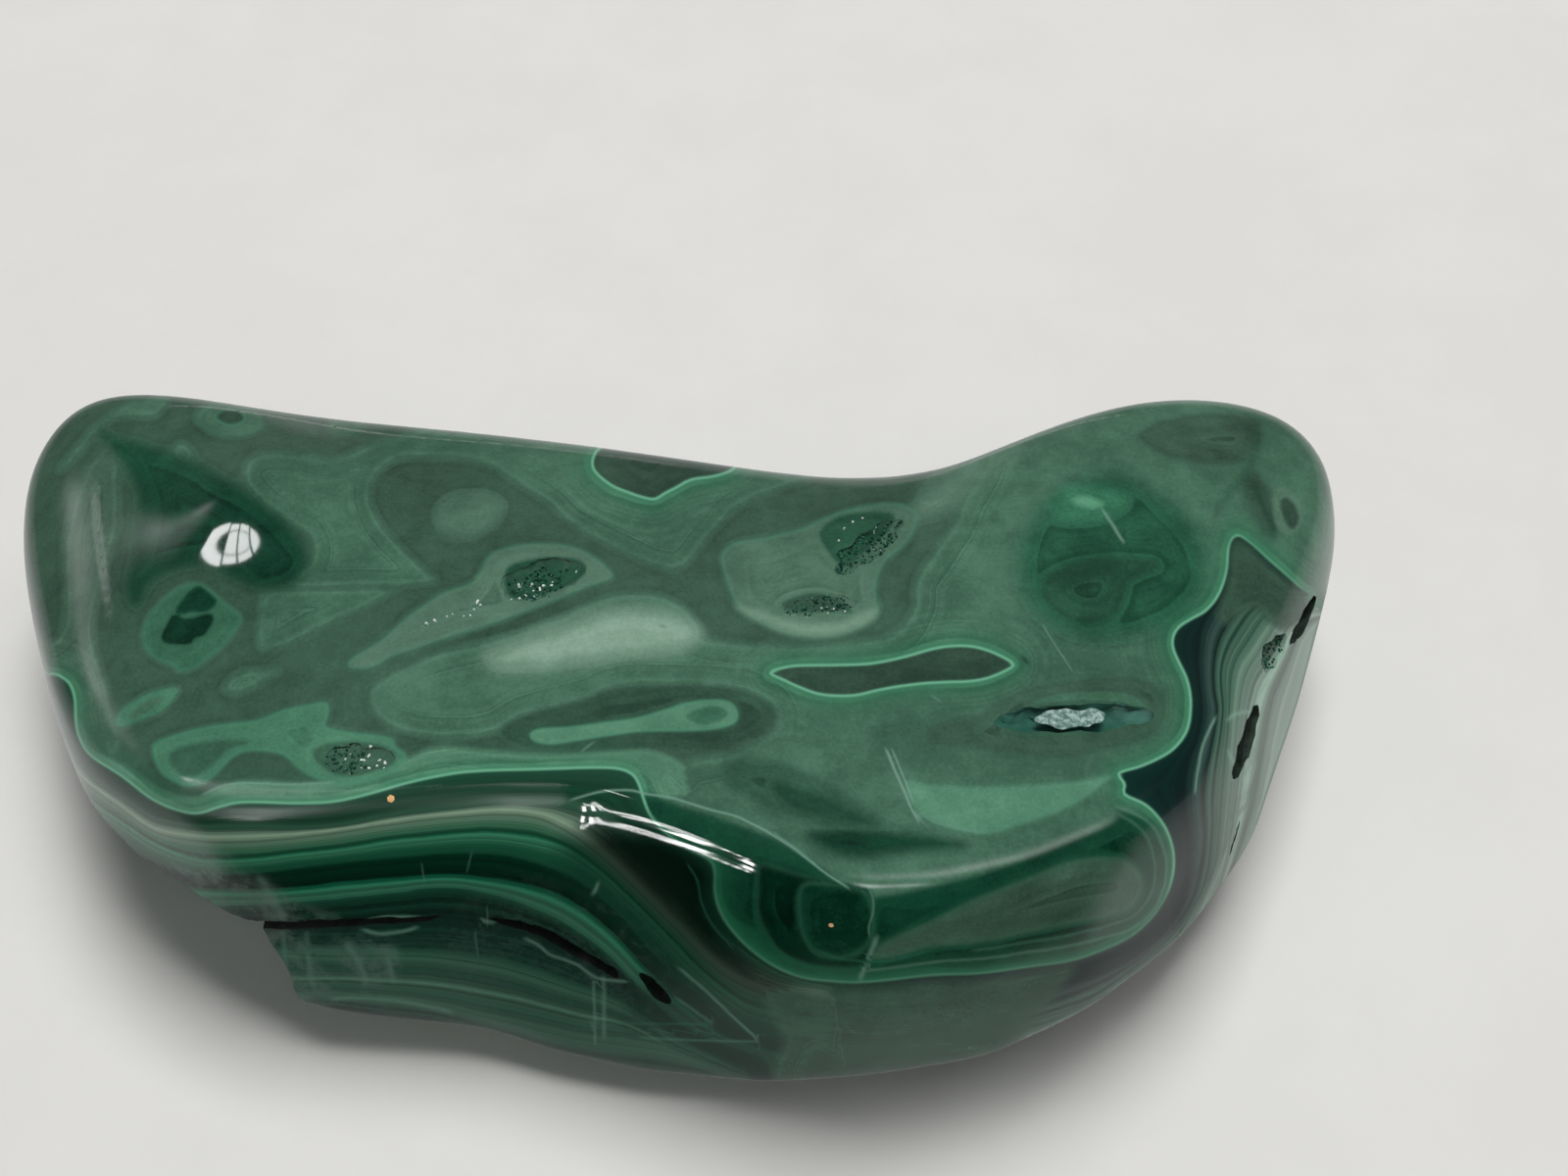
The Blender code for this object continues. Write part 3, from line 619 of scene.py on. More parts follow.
CORES = {
    # The first two areas are painted reflections: pale veils of soft light on the pale lobe and the cat.
    "lobe_painted_reflection": ((0.78, 1.0), 34, 0, (
        (500, 668), (530, 654), (570, 640), (610, 628), (650, 624), (690, 630), (712, 645), (700, 660),
        (660, 668), (620, 672), (580, 677), (540, 681), (505, 680))),
    "cat_painted_reflection": ((0.7, 1.0), 14, 0, (
        (752, 618), (775, 625), (800, 632), (830, 636), (860, 634), (888, 622), (893, 628), (880, 638),
        (865, 644), (845, 648), (825, 648), (800, 644), (780, 636), (765, 628))),
    "druse_patch": ((0.33, 0.3), 5, 0, (
        (515, 590), (520, 578), (540, 571), (565, 568), (590, 571), (598, 580), (590, 592), (570, 602),
        (545, 610), (525, 612), (516, 602))),
    "cat_druse": ((0.34, 0.4), 5, 0, (
        (836, 545), (845, 533), (862, 525), (885, 522), (908, 524), (912, 532), (900, 548), (885, 560),
        (872, 572), (860, 578), (850, 570), (842, 558))),
    "cat_pit": ((0.36, 0.8), 5, 0, (
        (798, 618), (810, 610), (830, 605), (850, 608), (866, 618), (868, 626), (840, 624), (815, 626))),
    "twin_left": ((0.44, 0.7), 6, 0, (
        (172, 772), (185, 762), (215, 757), (240, 755), (255, 757), (235, 765), (220, 778), (205, 790),
        (190, 793), (177, 786))),
    "twin_right": ((0.42, 0.75), 6, 0, (
        (318, 770), (330, 760), (355, 757), (385, 759), (403, 768), (400, 780), (375, 790), (350, 793),
        (332, 786))),
    "polygon_core": (DEEP, 4, 0.1, (
        (203, 598), (212, 604), (221, 613), (217, 622), (208, 626), (196, 626), (186, 628), (179, 624),
        (185, 614), (193, 604))),
    "polygon_low": ((0.17, 0.0), 4, 0, (
        (178, 627), (188, 632), (200, 631), (214, 627), (218, 632), (214, 642), (207, 650), (199, 652),
        (194, 658), (180, 658), (168, 656), (165, 649), (170, 639))),
    "top_eye_core": (DUSK, 3, 0.35, (
        (220, 426), (226, 419), (238, 417), (247, 421), (249, 428), (241, 433), (230, 433))),
    "small_eye_core": (MOSS, 3, 0, (
        (130, 732), (140, 722), (155, 713), (168, 710), (160, 720), (148, 728), (137, 733))),
    "lens_core": (GRASS, 4, 0, ((700, 732), (712, 724), (730, 721), (742, 727), (735, 736), (715, 740))),
    "slot_floor": ((0.43, 0.75), 3, 0, (
        (1027, 746), (1032, 737), (1045, 727), (1055, 722), (1075, 718), (1100, 715), (1130, 716),
        (1150, 718), (1163, 726), (1152, 736), (1140, 744), (1110, 750), (1070, 752), (1040, 752))),
    "right_eye": (MINT, 8, 0, (
        (1094, 510), (1104, 506), (1116, 508), (1126, 514), (1118, 518), (1104, 517))),
    "end_ring_core": ((0.31, 1.0), 5, 0, (
        (1306, 512), (1313, 508), (1322, 518), (1325, 532), (1318, 540), (1310, 530))),
    "middle_core": ((0.29, 0.4), 14, 0, (
        (790, 800), (820, 806), (850, 816), (880, 832), (895, 842), (850, 838), (815, 828), (795, 815))),
    "ridge_green": ((0.28, 0.0), 8, 0, (
        (655, 812), (700, 826), (750, 842), (790, 858), (830, 880), (852, 898), (830, 893), (790, 880),
        (750, 868), (700, 850), (672, 838))),
    "eye": ((0.2, 0.0), 5, 0.2, (
        (818, 905), (850, 902), (880, 908), (889, 925), (889, 955), (876, 972), (852, 978), (830, 970),
        (818, 945))),
}
FLANKS = {
    "low_grey": ((0.38, 0.8), 16, 0.9, (
        (800, 1008), (850, 1011), (900, 1008), (950, 1001), (1000, 1000), (1050, 993), (1095, 986),
        (1085, 1005), (1065, 1030), (1050, 1050), (1030, 1080), (1000, 1120), (900, 1160), (800, 1150),
        (790, 1090), (800, 1062), (785, 1035), (780, 1015))),
    "peak": ((0.35, 1.0), 12, 0.9, (
        (1256, 554), (1264, 550), (1276, 558), (1290, 572), (1308, 588), (1326, 602), (1336, 614),
        (1336, 628), (1322, 638), (1306, 642), (1292, 634), (1280, 622), (1266, 628), (1252, 638),
        (1242, 628), (1250, 604), (1254, 578))),
    # The next area is painted shade: near-black over the front wall's hollow below the ridge.
    "front_painted_shade": ((0.0, 0.0), 30, 0.85, (
        (596, 842), (640, 848), (680, 858), (715, 878), (726, 895), (724, 915), (732, 942), (748, 965),
        (775, 992), (805, 1012), (765, 1006), (722, 978), (692, 948), (662, 918), (630, 886), (604, 860))),
    "eye_core": ((0.17, 0.0), 6, 1, (
        (830, 918), (850, 910), (874, 914), (886, 928), (887, 950), (874, 964), (852, 970), (836, 962),
        (828, 942))),
}
PICTURE_LAYERS = {"bed": BEDS, "shade": SHADES, "lobe": LOBES, "core": CORES, "flank": FLANKS}

# The mint line round the top, from the left along the front, and back along the right
FRONT_EDGE = (
    (30, 684), (55, 687), (65, 692), (72, 700), (76, 715), (77, 735), (80, 750), (88, 765), (100, 776),
    (125, 792), (150, 812), (170, 823), (190, 829), (205, 829), (225, 823), (245, 819), (270, 819),
    (300, 820), (340, 818), (380, 810), (420, 798), (450, 791), (480, 787), (540, 785), (600, 783),
    (630, 784), (645, 790), (652, 800), (657, 815), (664, 832), (680, 850), (703, 866), (724, 877),
    (729, 890), (729, 908), (734, 928), (746, 948), (765, 968), (790, 986), (820, 998), (860, 1003))
RIGHT_EDGE = (
    (1341, 618), (1336, 606), (1325, 598), (1310, 585), (1295, 572), (1280, 558), (1269, 549), (1262, 546),
    (1256, 551), (1253, 562), (1252, 580), (1248, 597), (1241, 612), (1230, 624), (1215, 632),
    (1203, 640), (1197, 650), (1197, 662), (1203, 676), (1210, 690), (1214, 705), (1215, 720),
    (1213, 738), (1207, 752), (1195, 765), (1180, 774), (1162, 782), (1142, 789), (1148, 800),
    (1148, 811), (1170, 822), (1188, 843), (1197, 870), (1196, 900), (1185, 925), (1165, 947),
    (1140, 963), (1100, 978), (1050, 986), (1000, 993), (950, 995), (900, 1001), (880, 1003))
TOP_BEYOND = ((1440, 640), (1500, 250), (800, 150), (0, 250), (-80, 650))
# Where that line is dimmer: by how much, softness, outline
DIM_LINES = (
    (0.65, 30, ((664, 834), (700, 852), (850, 890), (1000, 920), (1195, 905), (1230, 960), (1100, 1040),
                (850, 1050), (720, 990), (700, 940), (690, 880))),
    (1.0, 16, ((1334, 596), (1380, 590), (1480, 620), (1480, 680), (1370, 650), (1338, 622))),
    (0.45, 20, ((1270, 530), (1300, 550), (1360, 590), (1360, 630), (1320, 620), (1290, 590), (1262, 556))),
)

# The layers of the front wall below that line, and of the right wall beyond it
FRONT_BANDS = (
    FRONT_EDGE,
    ((40, 700), (60, 720), (70, 750), (80, 773), (100, 797), (130, 817), (160, 836), (200, 843),
     (250, 843), (300, 845), (350, 842), (400, 832), (450, 825), (500, 819), (540, 818), (580, 820),
     (620, 835), (660, 870), (700, 905), (725, 940), (760, 972), (800, 995), (850, 1008)),
    ((45, 730), (60, 755), (75, 785), (100, 806), (130, 828), (160, 847), (200, 855), (250, 855),
     (300, 852), (350, 846), (400, 838), (450, 831), (500, 828), (545, 830), (575, 842), (610, 868),
     (650, 905), (690, 945), (730, 985), (780, 1010), (850, 1020)),
    ((50, 760), (70, 795), (85, 810), (100, 823), (130, 844), (160, 862), (190, 875), (215, 880),
     (260, 878), (300, 873), (350, 868), (400, 859), (450, 854), (500, 852), (545, 857), (580, 868),
     (615, 892), (650, 925), (685, 960), (720, 995), (770, 1030), (850, 1045)),
    ((60, 790), (75, 815), (100, 842), (130, 863), (160, 878), (190, 888), (215, 891), (260, 889),
     (300, 884), (350, 878), (400, 872), (450, 868), (500, 868), (530, 872), (570, 886), (600, 902),
     (640, 940), (680, 985), (720, 1020), (765, 1055), (850, 1070)),
    ((65, 820), (95, 855), (130, 880), (165, 897), (200, 907), (250, 909), (300, 907), (350, 902),
     (400, 898), (450, 894), (500, 898), (540, 905), (580, 920), (620, 950), (660, 990), (700, 1025),
     (740, 1058), (800, 1075)),
    ((80, 850), (110, 880), (150, 908), (200, 925), (250, 925), (300, 921), (350, 917), (400, 912),
     (450, 906), (500, 912), (540, 925), (580, 945), (620, 975), (650, 1005), (680, 1035), (720, 1060),
     (780, 1080)),
    ((100, 890), (140, 915), (180, 930), (220, 938), (260, 941), (300, 943), (350, 942), (400, 938),
     (450, 935), (500, 940), (560, 955), (600, 978), (630, 1000), (660, 1025), (700, 1055), (760, 1085)),
    ((140, 940), (200, 955), (260, 962), (300, 965), (350, 967), (400, 966), (450, 967), (500, 973),
     (540, 983), (580, 997), (620, 1012), (660, 1035), (700, 1062), (760, 1090)),
    ((150, 970), (220, 975), (300, 978), (350, 980), (400, 979), (450, 982), (500, 990), (540, 1000),
     (580, 1013), (620, 1025), (660, 1045), (700, 1070), (760, 1095)),
    ((200, 1000), (300, 1000), (350, 1000), (400, 1003), (450, 1007), (500, 1015), (550, 1026),
     (600, 1038), (640, 1046), (700, 1078), (760, 1100)),
    ((200, 1020), (320, 1012), (400, 1016), (450, 1023), (500, 1034), (560, 1047), (600, 1055),
     (680, 1066), (770, 1105)),
    ((200, 1040), (320, 1027), (400, 1037), (450, 1043), (500, 1057), (560, 1077), (620, 1090),
     (700, 1098), (800, 1112)),
)
FRONT_CLOSE = ((900, 1300), (-100, 1300), (-100, 700))
RIGHT_BANDS = (
    RIGHT_EDGE + ((800, 992),),
    ((1360, 600), (1330, 600), (1300, 600), (1262, 600), (1240, 618), (1226, 640), (1222, 670),
     (1224, 700), (1226, 725), (1222, 750), (1212, 775), (1208, 800), (1210, 830), (1213, 860),
     (1213, 890), (1205, 925), (1185, 955), (1150, 980), (1110, 998), (1050, 1012), (1000, 1022),
     (900, 1040), (800, 1050)),
    ((1360, 606), (1330, 606), (1300, 606), (1272, 610), (1254, 630), (1240, 655), (1236, 680),
     (1237, 705), (1240, 725), (1236, 750), (1230, 780), (1226, 810), (1228, 850), (1226, 880),
     (1216, 915), (1198, 945), (1165, 975), (1120, 1002), (1070, 1022), (1000, 1038), (900, 1058),
     (800, 1070)),
    ((1360, 612), (1330, 612), (1305, 614), (1284, 622), (1266, 645), (1252, 668), (1247, 690),
     (1249, 720), (1247, 750), (1243, 785), (1240, 820), (1238, 860), (1234, 890), (1222, 925),
     (1204, 955), (1170, 985), (1125, 1014), (1075, 1034), (1000, 1054), (900, 1072), (800, 1084)),
    ((1360, 618), (1335, 618), (1312, 622), (1296, 634), (1280, 658), (1264, 680), (1258, 708),
     (1256, 745), (1254, 785), (1250, 825), (1247, 860), (1241, 895), (1228, 932), (1208, 962),
     (1175, 993), (1130, 1024), (1080, 1045), (1000, 1066), (900, 1084), (800, 1096)),
    ((1360, 624), (1338, 626), (1322, 634), (1308, 655), (1294, 680), (1280, 705), (1272, 745),
     (1265, 800), (1260, 840), (1252, 880), (1240, 915), (1220, 950), (1190, 985), (1145, 1020),
     (1095, 1046), (1000, 1075), (900, 1094), (800, 1106)),
    ((1360, 632), (1345, 638), (1332, 655), (1322, 685), (1312, 720), (1302, 765), (1290, 820), (1274, 862),
     (1255, 900), (1235, 935), (1210, 968), (1180, 1000), (1140, 1035), (1095, 1062), (1000, 1090),
     (900, 1108), (800, 1120)),
)
RIGHT_CLOSE = ((800, 1300), (1600, 1300), (1600, 590))

# Cracks, scratches and dark specks: half width in pixels, strength, paleness, points
MARKS = {
    "mark_a": (
        (1.3, 0.7, 0.8, (
            (580, 817), (610, 808), (640, 806), (660, 810), (687, 815), (720, 825), (750, 833),
            (774, 845), (800, 860), (825, 878), (845, 893), (860, 902), (868, 908))),
        (1.2, 0.5, 0.7, ((884, 903), (890, 915), (891, 930), (887, 945), (888, 957))),
        (1.5, 0.6, 0.9, ((903, 762), (915, 790), (928, 820), (939, 841))),
        (1.0, 0.35, 0.8, ((1063, 636), (1078, 660), (1095, 687))),
        (1.7, 0.5, 0.9, ((1123, 517), (1135, 535), (1148, 556))),
        (1.6, 0.35, 0.7, (
            (1137, 822), (1157, 830), (1174, 841), (1185, 859), (1190, 881), (1188, 907), (1177, 931),
            (1150, 950), (1100, 963), (1050, 971), (1000, 978), (950, 982), (880, 992))),
        (1.5, 0.45, 0.6, ((688, 1016), (708, 1031), (730, 1047))),
        (1.4, 0.35, 0.5, ((730, 1046), (690, 1045), (640, 1044), (590, 1040))),
        (2.5, 0.55, 0.85, ((1250, 737), (1260, 729), (1276, 727), (1286, 733))),
        (1.6, 0.5, 0.7, ((690, 985), (715, 1006), (744, 1034), (776, 1064))),
        (1.5, 0.45, 0.6, ((776, 1063), (740, 1063), (690, 1061), (650, 1058))),
        (1.5, 0.6, 0.8, ((1241, 729), (1233, 745), (1227, 760), (1222, 785), (1219, 812))),
        (5.0, 0.3, 0.1, ((1288, 438), (1272, 485), (1262, 495), (1243, 518), (1238, 532))),
        (1.6, 0.4, 0.8, ((1297, 690), (1290, 700), (1282, 712))),
        (1.4, 0.4, 0.8, ((1298, 640), (1304, 645), (1312, 645))),
        (2.0, 0.5, 0.9, ((1252, 762), (1260, 780), (1268, 790))),
        (1.2, 0.3, 0.8, ((948, 708), (961, 717))),
        (1.6, 0.5, 0.75, (
            (533, 957), (548, 964), (560, 974), (575, 979), (590, 985), (604, 995), (618, 1000),
            (642, 1002))),
        (1.8, 0.6, 0.7, ((364, 943), (385, 938), (410, 936), (434, 938))),
        (2.0, 0.5, 0.8, ((612, 898), (607, 908), (602, 914))),
        (2.4, 0.45, 0.7, ((335, 1020), (360, 1018), (385, 1019), (410, 1022), (440, 1028), (465, 1034))),
        (1.5, 0.5, 0.7, ((935, 828), (960, 841), (1005, 849))),
        (2.0, 0.75, 0.0, ((672, 638), (680, 640))),
        (2.2, 0.6, 0.0, ((1041, 667), (1051, 679))),
        (1.0, 0.25, 0.7, ((483, 866), (476, 892))),
        (1.0, 0.25, 0.7, ((497, 922), (498, 947))),
        (1.2, 0.25, 0.7, ((485, 948), (489, 978))),
        (1.0, 0.25, 0.7, ((430, 878), (433, 902))),
        (1.6, 0.3, 0.8, ((606, 994), (607, 1068))),
        (3.0, 0.35, 0.7, ((288, 945), (292, 985), (300, 1005))),
        (3.0, 0.35, 0.7, ((350, 960), (368, 985), (374, 1008))),
        (5.0, 0.3, 0.7, ((262, 892), (276, 915), (290, 938))),
        # The next mark is a pale scratched patch at the left front corner, with a painted highlight on it.
        (4.0, 0.3, 0.8, ((108, 772), (120, 782), (138, 798))),
    ),
    "mark_b": (
        (2.8, 0.5, 0.8, ((897, 953), (885, 980), (876, 1003))),
        (1.8, 0.6, 0.7, ((368, 948), (385, 953), (405, 952), (428, 946))),
        (2.0, 0.5, 0.8, ((490, 936), (496, 940), (506, 941))),
        (5.0, 0.25, 0.7, ((300, 965), (330, 968), (380, 970), (410, 974))),
        (1.2, 0.5, 0.7, ((786, 848), (803, 860), (820, 872), (838, 888))),
        (1.2, 0.45, 0.9, ((909, 762), (922, 793), (933, 822))),
        (1.8, 0.35, 0.6, (
            (1140, 830), (1158, 841), (1171, 855), (1178, 880), (1177, 905), (1165, 928), (1145, 941),
            (1100, 952), (1050, 961), (990, 970))),
        (1.4, 0.4, 0.5, ((832, 968), (860, 979), (900, 981), (950, 970))),
        (1.5, 0.35, 0.4, ((700, 878), (712, 898), (716, 920), (728, 945), (750, 970))),
        (1.4, 0.35, 0.9, ((205, 812), (225, 803), (250, 799), (300, 801), (345, 798))),
        (1.2, 0.4, 0.8, ((592, 768), (608, 755))),
        (2.2, 0.3, 0.8, ((616, 994), (616, 1062))),
        (3.0, 0.3, 0.7, ((312, 948), (316, 985), (322, 1012))),
        (4.0, 0.45, 0.1, ((1278, 488), (1290, 520), (1302, 545))),
        (3.0, 0.35, 0.7, ((395, 975), (402, 1005))),
    ),
}
# Distances in pixels over which a mark fades to its sides and towards its ends
MARK_REACH = (6.0, 10.0)
MARK_TAPER = 6.0
# Softness and outline of the areas that are duller, worn and mottled, darkened as painted shade, and bruised
WEAR_AND_SHADE = {
    "dull": (
        (14, ((185, 800), (250, 798), (330, 802), (420, 802), (500, 798), (560, 796), (578, 806), (566, 822),
              (500, 826), (420, 828), (330, 836), (250, 838), (185, 834))),
        (25, ((1190, 690), (1240, 660), (1290, 650), (1400, 600), (1400, 900), (1250, 980), (1190, 940),
              (1225, 850), (1235, 760))),
        (20, ((60, 790), (120, 850), (200, 890), (270, 900), (300, 940), (240, 960), (100, 900), (40, 820))),
    ),
    "worn": (
        (50, ((430, 985), (470, 925), (520, 900), (580, 900), (640, 925), (700, 985), (700, 1050),
              (600, 1075), (500, 1050))),
        (40, ((230, 900), (290, 900), (320, 950), (400, 960), (420, 1000), (480, 1040), (380, 1060),
              (250, 1000))),
    ),
    # Painted shade: the front wall darkened towards near-black below the ridge.
    "calm": (
        (30, ((590, 850), (660, 850), (720, 880), (735, 930), (770, 980), (820, 1010), (800, 1120),
              (740, 1090), (690, 1060), (640, 1040), (660, 990), (630, 940), (590, 900), (570, 870))),
    ),
    "bruised": (
        (16, ((205, 868), (240, 880), (268, 900), (310, 925), (345, 938), (310, 946), (265, 942), (230, 925),
              (190, 905), (170, 885))),
        (12, ((262, 948), (300, 952), (318, 975), (345, 1005), (330, 1025), (295, 1005), (272, 975))),
        (12, ((340, 958), (395, 962), (408, 1000), (372, 1006), (350, 985))),
        (10, ((1262, 760), (1285, 770), (1280, 810), (1262, 850), (1250, 880), (1244, 850), (1252, 800))),
    ),
}


def spline(points, closed):
    """A smooth curve through the points, with a few straight steps between each two."""
    points = np.array(points, dtype=float)
    if closed:
        points = np.concatenate([points[-1:], points, points[:2]])
    else:
        points = np.concatenate([2 * points[:1] - points[1:2], points, 2 * points[-1:] - points[-2:-1]])
    t = np.arange(OUTLINE_STEPS)[:, None] / OUTLINE_STEPS
    curve = []
    for before, start, end, after in zip(points, points[1:], points[2:], points[3:]):
        bend = (2 * before - 5 * start + 4 * end - after) * t ** 2
        twist = (3 * (start - end) + after - before) * t ** 3
        curve.append((2 * start + (end - before) * t + bend + twist) / 2)
    if not closed:
        curve.append(points[-2:-1])
    return np.concatenate(curve)


def squared_distance(places, curve):
    """Squared distance in pixels from each place to the nearest stretch of the curve."""
    nearest = np.full(len(places), np.inf)
    for start, end in zip(curve, curve[1:]):
        step, away = end - start, places - start
        share = np.clip(away @ step / max(step @ step, 1e-9), 0, 1)
        gap = away - share[:, None] * step
        nearest = np.minimum(nearest, (gap ** 2).sum(axis=1))
    return nearest


def is_inside(places, outline):
    """Which places lie inside, by how often a line to the left crosses the outline."""
    inside = np.zeros(len(places), dtype=bool)
    for start, end in zip(outline, np.roll(outline, -1, axis=0)):
        if start[1] == end[1]:
            continue
        spans = (start[1] > places[:, 1]) != (end[1] > places[:, 1])
        crossing = start[0] + (places[:, 1] - start[1]) * (end[0] - start[0]) / (end[1] - start[1])
        inside ^= spans & (places[:, 0] < crossing)
    return inside


def near_to(places, outline):
    """Which places lie within FAR of the outline's frame."""
    return np.all((places > outline.min(axis=0) - FAR) & (places < outline.max(axis=0) + FAR), axis=1)


def depth_inside(places, points):
    """Signed distance in pixels into the smooth outline, no further than FAR either way."""
    outline = spline(points, closed=True)
    depth = np.full(len(places), -FAR)
    near = near_to(places, outline)
    some = places[near]
    distance = np.sqrt(squared_distance(some, np.concatenate([outline, outline[:1]])))
    depth[near] = np.clip(np.where(is_inside(some, outline), distance, -distance), -FAR, FAR)
    return depth


def cover(places, points, softness):
    """How much of each place the soft-edged area covers."""
    return np.clip(depth_inside(places, points) / softness + 0.5, 0, 1)


def band_level(places, curves, close):
    """How many bands lie above each place, with a share for the band that it is in."""
    depths = []
    for points in curves:
        curve = spline(points, closed=False)
        distance = np.sqrt(squared_distance(places, curve))
        inside = is_inside(places, np.concatenate([curve, close]))
        depths.append(np.where(inside, distance, -distance))
    level = np.zeros(len(places))
    for above, below in zip(depths, depths[1:]):
        share = above / np.maximum(above - below, 1e-6)
        level += np.where(below >= 0, 1.0, np.where(above <= 0, 0.0, share))
    return level


def picture_places(points):
    """Where the camera at rest sees each point, in pixels."""
    away = points - np.array(CAMERA_PLACE)
    scale = FOCAL_PIXELS / (away @ SIGHT)
    across = PICTURE_CENTRE[0] + scale * away[:, 0]
    down = PICTURE_CENTRE[1] - scale * (away @ SIGHT_UP)
    return np.column_stack([across, down])


# How the bands waver: grain in one millimetre and reach in pixels
HIDDEN_GRAIN, HIDDEN_WARP = 0.05, 26.0
BAND_GRAIN, BAND_WARP = 0.16, 1.4
# What a place outside every area gets, and the distance within which an outline steers the grain
NO_AREA = (-FAR, 0.3, 0.4, 0.0)
STEERING_REACH, LEAST_WEIGHT = 4, 1e-4


def noise_pairs(points, grain):
    return np.array([noise.noise_vector(Vector(point) * grain)[:2] for point in points])


def warped_places(points, facing):
    """Picture places, gently wavered, and more so on the sides that the camera doesn't see."""
    hidden = np.clip(-2 * facing, 0, 1)
    broad, fine = noise_pairs(points, HIDDEN_GRAIN), noise_pairs(points, BAND_GRAIN)
    return picture_places(points) + broad * HIDDEN_WARP * hidden[:, None] + fine * BAND_WARP


def layer_values(places, areas, grain, weight, window):
    """For each place: softened depth, tone, greyness and rim of the area that it is deepest in."""
    values = np.tile(NO_AREA, (len(places), 1))
    for (tone, grey), softness, rim, points in areas.values():
        depth = depth_inside(places, points)
        deepest = depth / softness > values[:, 0]
        values[deepest, 0] = depth[deepest] / softness
        values[deepest, 1:] = (tone, grey, rim)
        share = (1 - np.abs(depth) / FAR) ** 2 / (np.abs(depth) + STEERING_REACH) ** 2
        grain += share * depth
        weight += share
        if areas is LOBES and rim == WINDOW_RIM:
            np.maximum(window, depth, out=window)
    return values


def mark_values(places, facing, marks):
    """Signed distance across the nearest mark in its half widths, and that mark's strength and paleness."""
    nearest = np.full(len(places), np.inf)
    values = np.zeros((len(places), 3))
    for half_width, strength, paleness, points in marks:
        curve = spline(points, closed=False)
        near = near_to(places, curve)
        some = places[near]
        distance, across, along = np.full(len(some), np.inf), np.zeros(len(some)), np.zeros(len(some))
        travelled = 0.0
        for start, end in zip(curve, curve[1:]):
            step, away = end - start, some - start
            length = math.hypot(*step)
            share = np.clip(away @ step / length ** 2, 0, 1)
            gap = np.hypot(*(away - share[:, None] * step).T)
            side = step[0] * away[:, 1] - step[1] * away[:, 0]
            closer = gap < distance
            distance[closer] = gap[closer]
            across[closer] = np.copysign(gap, side)[closer]
            along[closer] = (travelled + share * length)[closer]
            travelled += length
        taper = np.clip(np.minimum(along, travelled - along) / MARK_TAPER, 0, 1)
        fade = np.clip((MARK_REACH[1] - distance) / (MARK_REACH[1] - MARK_REACH[0]), 0, 1)
        closest = distance < nearest[near]
        chosen = np.flatnonzero(near)[closest]
        nearest[chosen] = distance[closest]
        values[chosen, 0] = (across / half_width)[closest]
        values[chosen, 1] = (strength * fade * taper)[closest]
        values[chosen, 2] = paleness
    values[:, 1] *= facing > 0
    return values


def write_values(mesh, name, *columns):
    """Keeps up to four numbers for each vertex under the name."""
    values = np.ones((len(mesh.vertices), 4), dtype=np.float32)
    for number, column in enumerate(columns):
        values[:, number] = column
    attribute = mesh.attributes.new(name, "FLOAT_COLOR", "POINT")
    attribute.data.foreach_set("color", values.ravel())


def paint_bands(mesh):
    """Gives each vertex its depths in the layers of outlines, from where the camera sees it."""
    points, normals = vertex_values(mesh, "co") / MM, vertex_values(mesh, "normal")
    facing = (normals * unit(np.array(CAMERA_PLACE) - points)).sum(axis=1)
    places = warped_places(points, facing)
    count = len(points)
    grain, weight, window = np.zeros(count), np.full(count, LEAST_WEIGHT), np.full(count, -FAR)
    for name, areas in PICTURE_LAYERS.items():
        write_values(mesh, name, *layer_values(places, areas, grain, weight, window).T)
    outside = -depth_inside(places, FRONT_EDGE + RIGHT_EDGE[::-1] + TOP_BEYOND)
    share = 1 / (np.abs(outside) + STEERING_REACH) ** 2
    grain = (grain + share * outside) / (weight + share)
    line = np.ones(count)
    for dimming, softness, outline in DIM_LINES:
        line *= 1 - dimming * cover(places, outline, softness)
    write_values(mesh, "sheet", grain, np.maximum(window, outside), line)
    wear_and_shade = [np.max([cover(places, outline, softness) for softness, outline in areas], axis=0)
            for areas in WEAR_AND_SHADE.values()]
    write_values(mesh, "wear_and_shade", *wear_and_shade)
    write_values(mesh, "wall", outside, band_level(places, FRONT_BANDS, FRONT_CLOSE),
                 band_level(places, RIGHT_BANDS, RIGHT_CLOSE), facing)
    for name, marks in MARKS.items():
        write_values(mesh, name, *mark_values(places, facing, marks).T)


# Materials

EULER = 2.718
BUMP_DEPTH = 0.2 * MM
POLISHED_IOR, BROKEN_IOR = 1.6, 1.5
GREEN_TONES = (
    (0.0, (0.0002, 0.003, 0.0015)), (0.15, (0.0006, 0.024, 0.012)), (0.3, (0.007, 0.07, 0.037)),
    (0.45, (0.023, 0.15, 0.076)), (0.6, (0.065, 0.3, 0.165)), (0.75, (0.13, 0.45, 0.26)),
    (1.0, (0.3, 0.72, 0.48)))
GREY_TONES = (
    (0.0, (0.0015, 0.004, 0.003)), (0.15, (0.006, 0.018, 0.013)), (0.3, (0.024, 0.06, 0.04)),
    (0.45, (0.056, 0.125, 0.082)), (0.6, (0.112, 0.225, 0.152)), (0.75, (0.21, 0.35, 0.25)),
    (1.0, (0.42, 0.6, 0.5)))
BRUISE = (0.1, 0.17, 0.14, 1.0)
MINT_LINE = (0.17, 0.48, 0.3, 1.0)
PALE_RIM = (0.07, 0.27, 0.16, 1.0)
HALO_GREEN = (0.03, 0.23, 0.11, 1.0)
PAINTED_SHADE_GREEN = (0.003, 0.035, 0.02, 1.0)
WORN_GREY = (0.05, 0.1, 0.08, 1.0)
CHIPPED_GREY = (0.16, 0.28, 0.22, 1.0)
CRACK_TONES = ((0.0, (0.001, 0.007, 0.005)), (0.5, (0.03, 0.16, 0.1)), (1.0, (0.3, 0.5, 0.4)))
